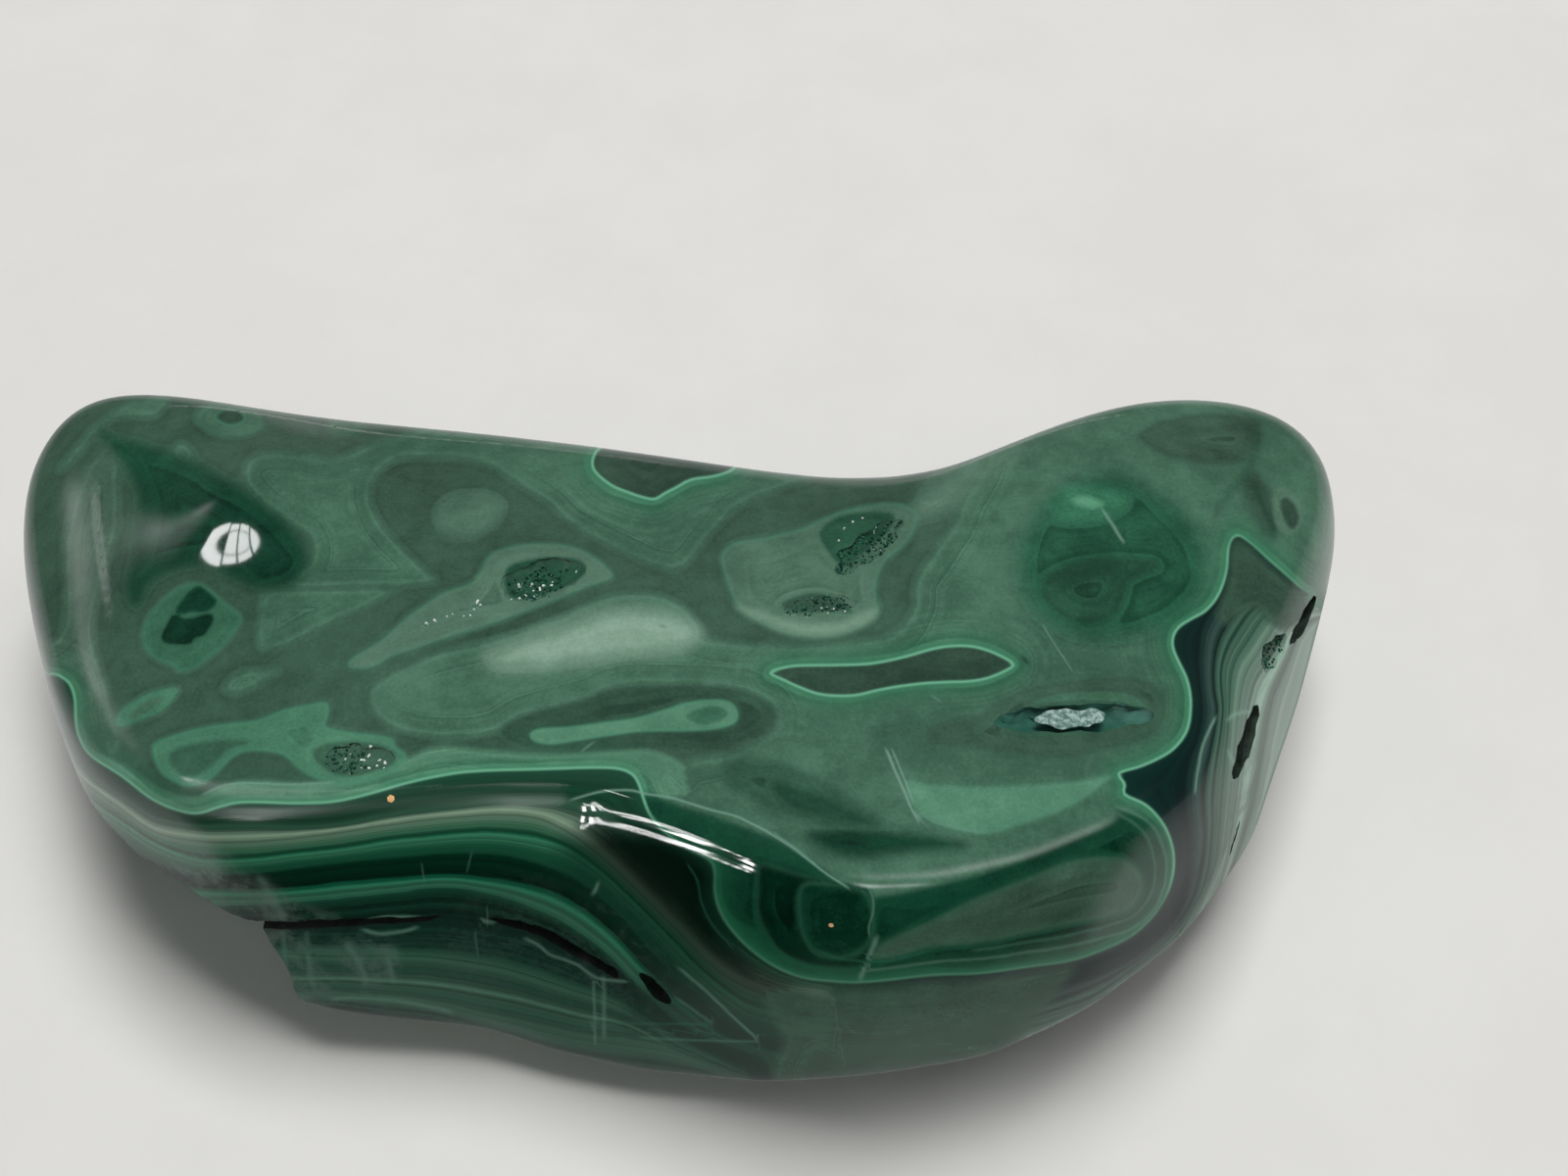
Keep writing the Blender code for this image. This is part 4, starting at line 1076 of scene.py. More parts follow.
# The pale stops from 0.13 to 0.185 are a pale band made paler by a painted reflection of the light bars.
FRONT_TONES = (
    (0.0, (0.008, 0.05, 0.028)), (0.06, (0.006, 0.045, 0.024)), (0.083, (0.04, 0.125, 0.075)),
    (0.1, (0.03, 0.095, 0.06)), (0.13, (0.14, 0.24, 0.165)), (0.16, (0.27, 0.4, 0.28)),
    (0.185, (0.135, 0.26, 0.17)), (0.21, (0.045, 0.15, 0.085)), (0.235, (0.005, 0.07, 0.035)),
    (0.25, (0.035, 0.19, 0.1)), (0.262, (0.042, 0.21, 0.115)), (0.31, (0.006, 0.075, 0.037)),
    (0.333, (0.012, 0.095, 0.05)), (0.345, (0.001, 0.03, 0.015)), (0.4, (0.0005, 0.02, 0.01)),
    (0.42, (0.006, 0.11, 0.056)), (0.47, (0.05, 0.22, 0.13)), (0.5, (0.008, 0.055, 0.032)),
    (0.58, (0.004, 0.022, 0.014)), (0.64, (0.006, 0.038, 0.025)), (0.68, (0.008, 0.048, 0.03)),
    (0.72, (0.04, 0.14, 0.088)), (0.75, (0.036, 0.12, 0.076)), (0.79, (0.01, 0.05, 0.034)),
    (0.83, (0.065, 0.165, 0.11)), (0.85, (0.05, 0.14, 0.092)), (0.88, (0.022, 0.075, 0.052)),
    (0.917, (0.05, 0.13, 0.088)), (0.94, (0.042, 0.11, 0.075)), (1.0, (0.012, 0.035, 0.026)))
RIGHT_TONES = (
    (0.0, (0.002, 0.02, 0.016)), (0.17, (0.002, 0.014, 0.012)), (0.21, (0.008, 0.034, 0.028)),
    (0.3, (0.03, 0.065, 0.055)), (0.36, (0.006, 0.028, 0.02)), (0.42, (0.05, 0.12, 0.085)),
    (0.47, (0.012, 0.045, 0.03)), (0.54, (0.075, 0.16, 0.11)), (0.6, (0.03, 0.09, 0.06)),
    (0.68, (0.13, 0.235, 0.17)), (0.76, (0.12, 0.2, 0.155)), (0.85, (0.24, 0.36, 0.285)),
    (1.0, (0.22, 0.3, 0.25)))
# Tones of each wall, its layers, and how far it still turns to the camera where they start to run on
WALLS = ((FRONT_TONES, FRONT_BANDS, 0.0), (RIGHT_TONES, RIGHT_BANDS, 0.2))
# How far the layers run on, and back again, where the camera doesn't see the walls
HIDDEN_LAYERS = 2.2
RIGHT_STRATA_FROM = (12 * MM, 24 * MM)
# Scale, detail and roughness of each noise in the stone
NOISES = {
    "mottle": (420.0, 5.0, 0.6), "cloud": (70.0, 3.0, 0.5), "fibres": (3200.0, 2.0, 0.6),
    "patches": (110.0, 2.0, 0.5), "bruises": (520.0, 6.0, 0.75), "worn": (900.0, 5.0, 0.75),
    "chips": (900.0, 5.0, 0.7), "relief": (2600.0, 4.0, 0.7)}
# How much each noise speckles the tones, and how much it wavers the fine bands
SPECKLES = {"cloud": 0.26, "mottle": 0.2, "fibres": 0.13}
WAVERS = {"cloud": 12.0, "mottle": 1.8}
# Scale and strength of the fine bands along windows, along all outlines and round the beds
WINDOW_STRIAE, GRAIN_STRIAE, BED_STRIAE = (0.13, 0.52), (0.11, 0.34), (0.14, 0.46)
WALL_LINES, WALL_LINE_WAVER = (2.6, 4.0, 0.65), 0.1
WALL_LINE_TONES = ((0.3, (0.5,) * 3), (0.7, (1.5,) * 3))
# The palest stops are the near-white of the painted glints.
CRYSTAL_TONES = (
    (0.0, (0.004, 0.04, 0.026)), (0.6, (0.018, 0.1, 0.066)), (0.85, (0.045, 0.18, 0.12)),
    (0.93, (0.1, 0.27, 0.2)), (0.97, (0.45, 0.68, 0.58)), (1.0, (0.85, 0.95, 0.9)))
CRYSTAL_GOLD = (0.85, 0.5, 0.22, 1.0)


class Nodes:
    """Short ways of adding shader nodes to one tree."""

    def __init__(self, tree):
        self.tree = tree
        self.tree.nodes.clear()

    def add(self, kind, inputs=None, **settings):
        node = self.tree.nodes.new(kind)
        for key, value in settings.items():
            setattr(node, key, value)
        for key, value in (inputs or {}).items():
            if isinstance(value, bpy.types.NodeSocket):
                self.tree.links.new(value, node.inputs[key])
            else:
                node.inputs[key].default_value = value
        return node

    def maths(self, operation, *values):
        return self.add("ShaderNodeMath", dict(enumerate(values)), operation=operation).outputs[0]

    def product(self, first, *others):
        for other in others:
            first = self.maths("MULTIPLY", first, other)
        return first

    def scaled(self, value, factor, plus):
        return self.maths("MULTIPLY_ADD", value, factor, plus)

    def centred(self, value):
        return self.maths("SUBTRACT", value, 0.5)

    def fall(self, value):
        """One where the value is zero, and less below it."""
        return self.maths("POWER", EULER, value)

    def bell(self, value, width):
        """One where the value is zero, and falling off smoothly over the width to both sides."""
        square = self.maths("POWER", self.maths("DIVIDE", value, width), 2.0)
        return self.fall(self.product(square, -1.0))

    def smooth(self, value, low, high):
        inputs = {0: value, 1: low, 2: high, 3: 0.0, 4: 1.0}
        return self.add("ShaderNodeMapRange", inputs, interpolation_type="SMOOTHSTEP").outputs[0]

    def mix(self, share, first, second, kind="MIX"):
        inputs = {0: share, 6: first, 7: second}
        return self.add("ShaderNodeMix", inputs, data_type="RGBA", blend_type=kind).outputs[2]

    def ramp(self, value, stops):
        node = self.add("ShaderNodeValToRGB", {0: value})
        ramp = node.color_ramp
        while len(ramp.elements) < len(stops):
            ramp.elements.new(1.0)
        for element, (position, colour) in zip(ramp.elements, stops):
            element.position = position
            element.color = (*colour, 1.0)
        return node.outputs[0]

    def values(self, name):
        """The four numbers of a vertex attribute."""
        node = self.add("ShaderNodeAttribute", attribute_name=name)
        parts = self.add("ShaderNodeSeparateColor", {0: node.outputs["Color"]})
        return [*parts.outputs[:3], node.outputs["Alpha"]]

    def place(self):
        return self.add("ShaderNodeTexCoord").outputs["Object"]

    def noise(self, scale, detail, roughness, dimensions="3D", **inputs):
        inputs = {"Scale": scale, "Detail": detail, "Roughness": roughness, **inputs}
        return self.add("ShaderNodeTexNoise", inputs, noise_dimensions=dimensions).outputs["Fac"]

    def object_noise(self, scale, detail, roughness):
        return self.noise(scale, detail, roughness, Vector=self.place())

    def bump(self, strength, height):
        inputs = {"Strength": strength, "Distance": BUMP_DEPTH, "Height": height}
        return {"Normal": self.add("ShaderNodeBump", inputs).outputs[0]}

    def surface(self, colour, roughness, ior=POLISHED_IOR, relief=None):
        inputs = {"Base Color": colour, "Roughness": roughness, "IOR": ior, **(relief or {})}
        shader = self.add("ShaderNodeBsdfPrincipled", inputs)
        self.add("ShaderNodeOutputMaterial", {0: shader.outputs[0]})


def new_material(name):
    material = bpy.data.materials.new(name)
    material.use_nodes = True
    return material, Nodes(material.node_tree)


class Bands:
    """The stone's colour: its layers of outlines, one over the other, with fine bands along them."""

    def __init__(self, nodes):
        self.nodes = nodes
        self.noises = {name: nodes.object_noise(*NOISES[name]) for name in ("mottle", "cloud", "fibres")}
        self.patchy = nodes.smooth(nodes.object_noise(*NOISES["patches"]), 0.4, 0.6)
        self.speckle = 0.0
        for name, strength in SPECKLES.items():
            self.speckle = nodes.scaled(nodes.centred(self.noises[name]), strength, self.speckle)
        self.grain, self.window, self.line_strength, _ = nodes.values("sheet")
        self.grain_lines = self.striae(self.grain, *GRAIN_STRIAE)
        self.dull, self.worn, self.calm, self.bruised = nodes.values("wear_and_shade")
        colour = self.with_wall(self.top())
        self.colour = self.with_marks(colour)

    def striae(self, coordinate, scale, strength):
        for name, waver in WAVERS.items():
            coordinate = self.nodes.scaled(self.noises[name], waver, coordinate)
        lines = self.nodes.centred(self.nodes.noise(scale, 3.0, 0.65, "1D", W=coordinate))
        return self.nodes.product(lines, strength, self.nodes.scaled(self.patchy, 0.7, 0.3))

    def ground(self, tone, grey, *details):
        value = self.nodes.maths("ADD", tone, self.speckle)
        for detail in details:
            value = self.nodes.maths("ADD", value, detail)
        return self.nodes.mix(grey, self.nodes.ramp(value, GREEN_TONES), self.nodes.ramp(value, GREY_TONES))

    def laid(self, colour, edge, over, opacity=1.0):
        share = self.nodes.product(self.nodes.smooth(edge, -0.5, 0.5), opacity)
        return self.nodes.mix(share, colour, over)

    def rimmed(self, colour, edge, rim):
        pale = self.nodes.maths("LESS_THAN", rim, WINDOW_RIM - 0.01)
        return self.nodes.mix(self.nodes.product(self.nodes.bell(edge, 0.6), pale, rim), colour, PALE_RIM)

    def top(self):
        nodes = self.nodes
        near_window = nodes.smooth(self.window, -55.0, -5.0)
        window_lines = nodes.product(self.striae(self.window, *WINDOW_STRIAE), near_window)
        colour = self.ground(*CHANNEL, nodes.product(self.grain_lines, 0.5))
        edge, tone, grey, _ = nodes.values("bed")
        near_edge = nodes.smooth(nodes.product(edge, -1.0), -4.5, -2.0)
        bed_lines = nodes.product(self.striae(nodes.product(edge, 8.0), *BED_STRIAE), near_edge)
        colour = self.laid(colour, edge, self.ground(tone, grey, bed_lines, window_lines))
        halo = nodes.fall(nodes.maths("DIVIDE", nodes.maths("MINIMUM", self.window, 0.0), 9.0))
        for name in ("shade", "lobe", "core"):
            edge, tone, grey, rim = nodes.values(name)
            colour = self.laid(colour, edge, self.ground(tone, grey, self.grain_lines))
            colour = self.rimmed(colour, edge, rim)
            if name == "shade":
                colour = nodes.mix(nodes.product(halo, 0.7), colour, HALO_GREEN)
        return colour

    def with_wall(self, colour):
        """The layers of the walls below the top's edge, with the mint line along it."""
        nodes = self.nodes
        outside, front_level, right_level, facing = nodes.values("wall")
        walls = []
        for level, (tones, bands, turn) in zip((front_level, right_level), WALLS):
            hidden = nodes.maths("MAXIMUM", nodes.maths("SUBTRACT", turn, facing), 0.0)
            wavered = nodes.scaled(nodes.centred(self.noises["mottle"]), WALL_LINE_WAVER, level)
            lines = nodes.ramp(nodes.noise(*WALL_LINES, "1D", W=wavered), WALL_LINE_TONES)
            share = nodes.maths("DIVIDE", wavered, len(bands) - 1.0)
            share = nodes.maths("PINGPONG", nodes.scaled(hidden, HIDDEN_LAYERS, share), 1.0)
            walls.append(nodes.mix(1.0, nodes.ramp(share, tones), lines, "MULTIPLY"))
        # Painted shade: the front wall's layers darkened towards near-black below the ridge.
        walls[0] = nodes.mix(nodes.product(self.calm, 0.75), walls[0], PAINTED_SHADE_GREEN)
        across = nodes.add("ShaderNodeSeparateXYZ", {0: nodes.place()}).outputs[0]
        wall = nodes.mix(nodes.smooth(across, *RIGHT_STRATA_FROM), *walls)
        colour = self.laid(colour, nodes.maths("DIVIDE", outside, 2.4), wall)
        mint = nodes.product(nodes.bell(self.window, 1.5), self.line_strength, 0.9)
        return nodes.mix(mint, colour, MINT_LINE)

    def with_marks(self, colour):
        nodes = self.nodes
        edge, tone, grey, opacity = nodes.values("flank")
        colour = self.laid(colour, edge, self.ground(tone, grey, self.grain_lines), opacity)
        for name in MARKS:
            across, strength, paleness, _ = nodes.values(name)
            jagged = nodes.scaled(nodes.centred(self.noises["mottle"]), 2.0, across)
            shown = nodes.product(nodes.bell(jagged, 1.0), strength)
            colour = nodes.mix(shown, colour, nodes.ramp(paleness, CRACK_TONES))
        bruises = nodes.smooth(nodes.object_noise(*NOISES["bruises"]), 0.42, 0.6)
        return nodes.mix(nodes.product(bruises, self.bruised, 0.5), colour, BRUISE)


def polished_stone():
    material, nodes = new_material("polished malachite")
    bands = Bands(nodes)
    grains = nodes.smooth(nodes.object_noise(*NOISES["worn"]), 0.45, 0.62)
    colour = nodes.mix(nodes.product(grains, bands.worn, 0.22), bands.colour, WORN_GREY)
    nodes.surface(colour, nodes.scaled(bands.dull, 0.3, nodes.scaled(bands.worn, 0.12, 0.055)))
    return material


def rough_stone(name, roughness, darkness, pale_share):
    """Broken malachite: the bands run on through it, mottled and streaked with pale bruises."""
    material, nodes = new_material(name)
    colour = nodes.mix(1.0, Bands(nodes).colour, (darkness, darkness, darkness, 1.0), "MULTIPLY")
    chips = nodes.smooth(nodes.object_noise(*NOISES["chips"]), 0.5, 0.68)
    colour = nodes.mix(nodes.product(chips, pale_share), colour, CHIPPED_GREY)
    relief = nodes.bump(0.5, nodes.object_noise(*NOISES["relief"]))
    nodes.surface(colour, roughness, BROKEN_IOR, relief)
    return material


def mottled_material(name, tones, scale, roughness, bump_strength=0.0):
    """A material whose colour wanders between its tones."""
    material, nodes = new_material(name)
    grains = nodes.smooth(nodes.object_noise(scale, 4.0, 0.65), 0.36, 0.64)
    relief = nodes.bump(bump_strength, grains) if bump_strength else None
    nodes.surface(nodes.ramp(grains, tones), roughness, relief=relief)
    return material


def crystal_material():
    """Tiny crystals, each in its own green, a few of them near-white as painted glints."""
    material, nodes = new_material("druse crystals")
    tint, gold, _, _ = nodes.values("tint")
    nodes.surface(nodes.mix(gold, nodes.ramp(tint, CRYSTAL_TONES), CRYSTAL_GOLD), 0.22)
    return material


# Pieces

SLOT_FLOOR_TONES = ((0.0, (0.022, 0.105, 0.075)), (1.0, (0.06, 0.2, 0.15)))
CRUST_TONES = ((0.0, (0.09, 0.18, 0.155)), (0.5, (0.2, 0.32, 0.29)), (1.0, (0.42, 0.56, 0.52)))
FLOOR_TONES = ((0.0, (0.80, 0.79, 0.765)), (1.0, (0.82, 0.81, 0.785)))
FLOOR_HALF = 2.5
SHARP_EDGE = math.radians(38)
# Crystals coloured near-white as painted glints, and small golden grains, at given pixels of the camera's
# picture
PAINTED_GLINTS = (
    (522, 612), (530, 611), (537, 608), (545, 609), (530, 599), (542, 598), (544, 603), (551, 602),
    (555, 598), (563, 598), (564, 594), (588, 584), (473, 629), (484, 622), (436, 637), (444, 634),
    (456, 630), (462, 627), (480, 628), (490, 618), (487, 615), (347, 771), (376, 772), (378, 762),
    (371, 776), (369, 784), (377, 784), (385, 782), (393, 779), (387, 776), (392, 784), (352, 776),
    (358, 770), (861, 540), (870, 533), (880, 529), (856, 552), (850, 622), (862, 624), (845, 626),
    (838, 621))
GOLD_GRAINS = ((848, 944, 0.22), (399, 815, 0.33))
CRYSTAL_SEED = 11
CRYSTALS_PER_SQUARE_MM = 7.0
CRYSTAL_RADIUS = (0.06, 0.14)
CRYSTAL_SLENDERNESS, GRAIN_SLENDERNESS = (0.7, 2.2), 0.2
CRYSTAL_LEAN = 0.5
CRYSTAL_SIDES = 6
CRYSTAL_ENDS = (-0.5, 1.0)
# Height of a pointed end in radii, and how much less pointed a grain is
CRYSTAL_POINT, GRAIN_BLUNTNESS = 0.8, 0.8
DARK_TINTS, PAINTED_GLINT_TINT = (0, 0.92), 1.0
GLINT_GROWTH = 0.95
# Crystals stand where a hollow is deeper than this share of its depth
CRYSTALS_BELOW = 0.25


def fit_to_box(mesh, box):
    """Draws the mesh in by the little that it stands out of the box."""
    points = vertex_values(mesh, "co")
    low, high = points.min(axis=0), points.max(axis=0)
    new_low, new_high = np.maximum(low, box[0]), np.minimum(high, box[1])
    points = new_low + (points - low) * (new_high - new_low) / (high - low)
    mesh.vertices.foreach_set("co", points.ravel())


def make_stone():
    """The skin with its seams, pits and hollows, each with its own floor, and the broken end."""
    stone = placed("malachite_stone", skin_mesh())
    stone.data.materials.append(polished_stone())
    fracture = rough_stone("fractured malachite", 0.5, 0.95, 0.5)
    blocks = [add_rough_block("left_break", BREAK_CORNER, BREAK_EDGES),
              add_rough_block("foot_chip", CHIP_CORNER, CHIP_EDGES)]
    for block in blocks:
        block.data.materials.append(fracture)
    seams = [add_seam(name, *sizes) for name, sizes in SEAMS.items()]
    skin = BVHTree.FromObject(stone, bpy.context.evaluated_depsgraph_get())
    lenses, pits = {}, []
    for name, (start, end, width, depth, outward) in HOLLOWS.items():
        start, end = (skin.find_nearest(Vector(point) * MM)[0] / MM for point in (start, end))
        lens = add_solid(name, lumpy_lens(start, end, width, depth, depth, outward, LENS_SUBDIVISIONS))
        if name in BARE_PITS:
            pits.append(lens)
        else:
            lenses[name] = lens
    slot = lenses.pop("crust_slot")
    slot.data.materials.append(mottled_material("slot floor", SLOT_FLOOR_TONES, 300.0, 0.5))
    druse_floor = rough_stone("druse floor", 0.4, 0.9, 0.08)
    # The seams' and pits' walls are broken malachite darkened to near-black: painted shade in the cracks.
    cut(stone, blocks + [slot, joined("seams", seams + pits, rough_stone("painted-shade seam walls", 0.8, 0.12, 0.06)),
                         joined("hollows", lenses.values(), druse_floor)])
    fit_to_box(stone.data, cad_box)
    stone.data.shade_smooth()
    stone.data.set_sharp_from_angle(angle=SHARP_EDGE)
    paint_bands(stone.data)
    return stone


def druse_spots(mesh, chance):
    """Random spots on the floors of the crystal hollows, with the way that the floor faces."""
    floor = mesh.materials.find("druse floor")
    faces = [face for face in mesh.polygons if face.material_index == floor]
    centres = np.array([face.center for face in faces]) / MM
    normals = np.array([face.normal for face in faces])
    areas = np.array([face.area for face in faces]) / MM ** 2
    sunk = np.zeros(len(faces), dtype=bool)
    for start, end, width, depth, outward in HOLLOWS.values():
        out = np.array(outward) / np.linalg.norm(outward)
        away = centres - (np.array(start) + end) / 2
        reach = np.linalg.norm(np.array(end) - start) / 2 + width / 2
        sunk |= (np.linalg.norm(away, axis=1) < reach) & (away @ out < -CRYSTALS_BELOW * depth)
    centres, normals, areas = centres[sunk], normals[sunk], areas[sunk]
    number = int(areas.sum() * CRYSTALS_PER_SQUARE_MM)
    chosen = chance.choice(len(centres), number, p=areas / areas.sum())
    return centres[chosen], normals[chosen]


def seen_spots(stone, pixels):
    """Where the camera sees the stone in each of the pixels."""
    tree = BVHTree.FromObject(stone, bpy.context.evaluated_depsgraph_get())
    spots = []
    for across, down in pixels:
        way = SIGHT + np.array([(across - PICTURE_CENTRE[0]) / FOCAL_PIXELS, 0, 0])
        way = way - SIGHT_UP * (down - PICTURE_CENTRE[1]) / FOCAL_PIXELS
        spot = tree.ray_cast(Vector(CAMERA_PLACE) * MM, Vector(way))
        spots.append((spot[0] / MM, spot[1]))
    return [np.array(axis) for axis in zip(*spots)]


def crystal_faces():
    """The faces of one crystal: its foot, its sides and its pointed end."""
    tip = 2 * CRYSTAL_SIDES
    faces = [tuple(reversed(range(CRYSTAL_SIDES)))]
    for corner in range(CRYSTAL_SIDES):
        after = (corner + 1) % CRYSTAL_SIDES
        faces.append((corner, after, CRYSTAL_SIDES + after, CRYSTAL_SIDES + corner))
        faces.append((CRYSTAL_SIDES + corner, CRYSTAL_SIDES + after, tip))
    return faces


def make_druse(stone):
    """Small six-sided crystals with pointed ends on the hollows' floors, near-white ones at given pixels as
    painted glints, and a few loose grains.
    """
    chance = np.random.default_rng(CRYSTAL_SEED)
    places, ups = druse_spots(stone.data, chance)
    glints, glint_ups = seen_spots(stone, PAINTED_GLINTS)
    grains, grain_ups = seen_spots(stone, [grain[:2] for grain in GOLD_GRAINS])
    glint_start = len(places)
    grain_start = glint_start + len(glints)
    number = grain_start + len(grains)
    radius = chance.uniform(*CRYSTAL_RADIUS, number)
    slenderness = chance.uniform(*CRYSTAL_SLENDERNESS, number)
    tint, gold = chance.uniform(*DARK_TINTS, number), np.zeros(number)
    # The glint crystals get the near-white tint: painted glints.
    tint[glint_start:], gold[grain_start:] = PAINTED_GLINT_TINT, 1.0
    radius[glint_start:grain_start] *= GLINT_GROWTH
    radius[grain_start:] = [grain[2] for grain in GOLD_GRAINS]
    slenderness[grain_start:] = GRAIN_SLENDERNESS
    places = np.concatenate([places, glints, grains])
    lean = CRYSTAL_LEAN * chance.normal(size=(number, 3)) * (1 - gold)[:, None]
    ups = unit(np.concatenate([ups, glint_ups, grain_ups]) + lean)
    sides = unit(np.cross(ups, chance.normal(size=(number, 3))))
    others = np.cross(ups, sides)
    radius, length = radius[:, None], (radius * slenderness)[:, None]
    rings = []
    for height in CRYSTAL_ENDS:
        for corner in range(CRYSTAL_SIDES):
            angle = 2 * math.pi * corner / CRYSTAL_SIDES
            spoke = math.cos(angle) * sides + math.sin(angle) * others
            rings.append(places + ups * length * height + spoke * radius)
    point = CRYSTAL_POINT * radius * (1 - GRAIN_BLUNTNESS * gold)[:, None]
    rings.append(places + ups * (length + point))
    points = np.stack(rings, axis=1)
    corners = len(rings)
    faces = [tuple(start + corner for corner in face)
             for start in range(0, number * corners, corners) for face in crystal_faces()]
    mesh = new_mesh("druse_crystals", (points.reshape(-1, 3) * MM).tolist(), faces)
    write_values(mesh, "tint", np.repeat(tint, corners), np.repeat(gold, corners))
    mesh.materials.append(crystal_material())
    return placed("druse_crystals", mesh)


def make_crust():
    shape = lumpy_lens(*CRUST_ENDS, CRUST_WIDTH, CRUST_DEPTH, CRUST_RISE, UP, CRUST_SUBDIVISIONS)
    crust = add_solid("powdery_crust", shape)
    crust.data.materials.append(mottled_material("white crust", CRUST_TONES, 2200.0, 1.0, 0.3))
    return crust


def make_floor():
    corners = [(x * FLOOR_HALF, y * FLOOR_HALF, 0) for x, y in ((-1, -1), (1, -1), (1, 1), (-1, 1))]
    floor = placed("floor", new_mesh("floor", corners, [(0, 1, 2, 3)]))
    floor.data.materials.append(mottled_material("pale paper", FLOOR_TONES, 40.0, 0.9))
    floor.visible_glossy = False


# Studio: soft lights as bearings from the back towards the right, heights, radii in degrees and strengths

SOFT_LIGHTS = (
    (104, 69, 7, 2.0), (90, 58, 6, 1.5), (160, 54, 5, 5.0), (-2, 51, 20, 0.08), (-57.5, 24, 2.5, 1.2),
    (-63, 26, 3, 0.5),
)
# How bright the sides and the front of the room are, from straight down to straight up
ROOM = ((0.0, 0.17), (0.06, 0.2), (0.13, 0.5), (0.3, 0.5), (0.45, 0.35), (0.51, 0.11), (0.63, 0.08),
        (0.78, 0.07), (0.85, 0.05))
FRONT_ROOM = ((0.0, 0.17), (0.1, 0.17), (0.16, 0.04), (0.2, 0.01), (0.6, 0.015), (0.75, 0.05), (0.85, 0.05))
# How far towards the front the sides give way to the front
FRONT_FROM = (0.3, 0.55)
# Lamps that aren't mirrored: bearing, height, distance, size and power
LAMPS = {"key": (24, 79.5, 2.5, 1.1, 48.5), "left_fill": (-125, 3.5, 2.5, 0.25, 9.0),
         "right_fill": (118, 3.5, 2.5, 0.25, 11.0)}
MIRRORED_DISTANCE = 4.0
# The panes of the window mirrored in the knob: their lowest and highest bearings and heights
WINDOW_PANES = (
    (-73.4, -70.0, 37, 46.5), (-77.4, -74.0, 47.3, 52.5), (-73.6, -70.9, 47.3, 52.5),
    (-77.4, -74.0, 53.3, 58.5), (-73.6, -70.6, 53.3, 58.5), (-76.0, -71.0, 59.3, 64.5),
)
WINDOW_STRENGTH = 12.0
# Rows of lamps mirrored along the front ridge: height of a lamp, and the bearings and heights that the row
# runs through
BAR_ROWS = (
    (9.0, ((-147, 15), (-134, 24), (-130.5, 28), (-131, 30), (-131.5, 31.5), (-133, 31.5), (-134.5, 30.5),
           (-136.5, 28.5))),
    (4.0, ((-136.5, 28.5), (-140.5, 25.5), (-143.5, 26.2))),
    (6.0, ((-146.5, 3.5), (-137, 5), (-136, 6), (-136.6, 6.5), (-137.4, 5.4), (-138.4, 4.4), (-139.4, 3))),
    (3.0, ((-139.4, 3), (-140.7, 0), (-142.2, -2), (-144.5, -2.7))),
)
BAR_STRENGTH = 22.0
LAMPS_PER_STEP = 2
LAMP_SPAN = (0.3, 0.7)


def direction(bearing, height):
    bearing, height = math.radians(bearing), math.radians(height)
    return Vector((math.sin(bearing) * math.cos(height), math.cos(bearing) * math.cos(height),
                   math.sin(height)))


def make_room():
    """A pale room with soft lights about it, darker where the front of the stone looks."""
    world = bpy.data.worlds.new("studio")
    world.use_nodes = True
    nodes = Nodes(world.node_tree)
    way = nodes.add("ShaderNodeTexCoord").outputs["Generated"]
    parts = nodes.add("ShaderNodeSeparateXYZ", {0: way})
    height = nodes.scaled(parts.outputs[2], 0.5, 0.5)
    to_front = nodes.smooth(nodes.product(parts.outputs[1], -1.0), *FRONT_FROM)
    sides, front = (nodes.ramp(height, [(place, (light,) * 3) for place, light in room])
                    for room in (ROOM, FRONT_ROOM))
    light = nodes.mix(to_front, sides, front)
    for bearing, rise, radius, strength in SOFT_LIGHTS:
        inputs = {0: way, 1: direction(bearing, rise)}
        aim = nodes.add("ShaderNodeVectorMath", inputs, operation="DOT_PRODUCT")
        sharpness = 2 * math.log(2) / math.radians(radius) ** 2
        off = nodes.maths("SUBTRACT", aim.outputs["Value"], 1.0)
        glow = nodes.product(nodes.fall(nodes.product(off, sharpness)), strength)
        grey = nodes.add("ShaderNodeCombineColor", {0: glow, 1: glow, 2: glow}).outputs[0]
        light = nodes.mix(1.0, light, grey, "ADD")
    background = nodes.add("ShaderNodeBackground", {0: light, 1: 1.0})
    nodes.add("ShaderNodeOutputWorld", {0: background.outputs[0]})
    bpy.context.scene.world = world


def make_lamp(name, bearing, height, distance, size, power):
    light = bpy.data.lights.new(name, "AREA")
    light.size = size
    light.energy = power
    item = placed(name, light)
    item.location = distance * direction(bearing, height)
    item.rotation_euler = (-item.location).to_track_quat("-Z", "Y").to_euler()
    item.visible_glossy = False


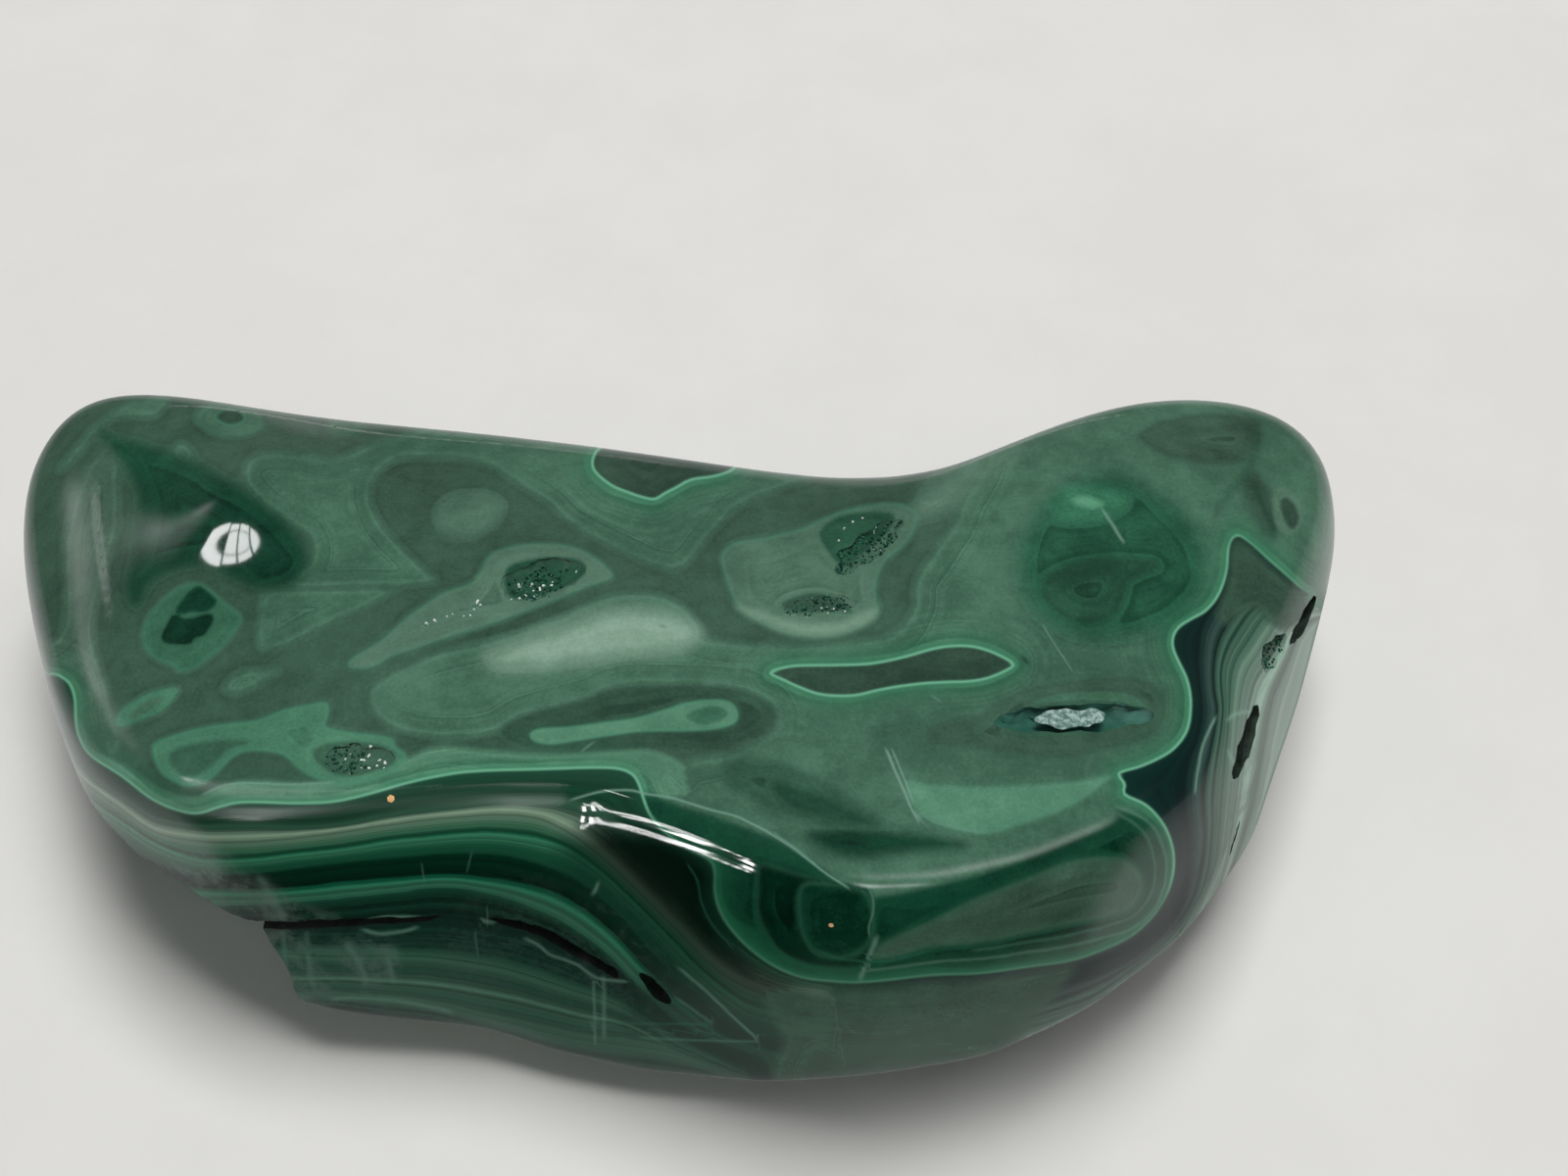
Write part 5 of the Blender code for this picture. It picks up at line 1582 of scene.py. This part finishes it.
def add_mirrored(name, points, strength):
    """Bright four-sided shapes about the stone that show only where the polish mirrors them."""
    faces = [tuple(range(start, start + 4)) for start in range(0, len(points), 4)]
    material, nodes = new_material(name)
    lamp = nodes.add("ShaderNodeEmission", {0: (1.0, 1.0, 1.0, 1.0), 1: strength})
    nodes.add("ShaderNodeOutputMaterial", {0: lamp.outputs[0]})
    item = placed(name, new_mesh(name, [MIRRORED_DISTANCE * point for point in points], faces))
    item.data.materials.append(material)
    item.visible_camera = item.visible_diffuse = item.visible_shadow = False


def make_light_bars():
    """Rows of small bright lamps behind the camera, mirrored along the stone's front ridge."""
    for number, (tall, steps) in enumerate(BAR_ROWS):
        points = []
        for lamp in range(LAMPS_PER_STEP * (len(steps) - 1)):
            places = [(lamp + share) / LAMPS_PER_STEP for share in LAMP_SPAN]
            (left, right), (left_height, right_height) = (
                np.interp(places, range(len(steps)), axis) for axis in zip(*steps))
            points += [direction(left, left_height - tall / 2), direction(left, left_height + tall / 2),
                       direction(right, right_height + tall / 2), direction(right, right_height - tall / 2)]
        add_mirrored(f"light_bars_{number}", points, BAR_STRENGTH)


def make_window():
    """A bright window to the left, mirrored in the knob."""
    points = []
    for left, right, low, high in WINDOW_PANES:
        corners = ((left, low), (right, low), (right, high), (left, high))
        points += [direction(*corner) for corner in corners]
    add_mirrored("window", points, WINDOW_STRENGTH)


def make_camera():
    camera = bpy.data.cameras.new("camera")
    camera.lens, camera.sensor_width = CAMERA_LENS, CAMERA_SENSOR
    camera.clip_start = CAMERA_CLIP
    item = placed("camera", camera)
    item.location = Vector(CAMERA_PLACE) * MM
    item.rotation_euler = (math.pi / 2 - CAMERA_ELEVATION, 0, 0)
    bpy.context.scene.camera = item


stone = make_stone()
crystals = make_druse(stone)
crust = make_crust()
for piece, slot in ((stone, "malachite"), (crystals, "malachite"), (crust, "white_crust")):
    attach(piece, "root")
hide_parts("malachite_freeform")
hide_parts("white_crust")
make_floor()
make_room()
for name, sizes in LAMPS.items():
    make_lamp(name, *sizes)
make_window()
make_light_bars()
make_camera()
bpy.context.scene.view_settings.view_transform = "Standard"
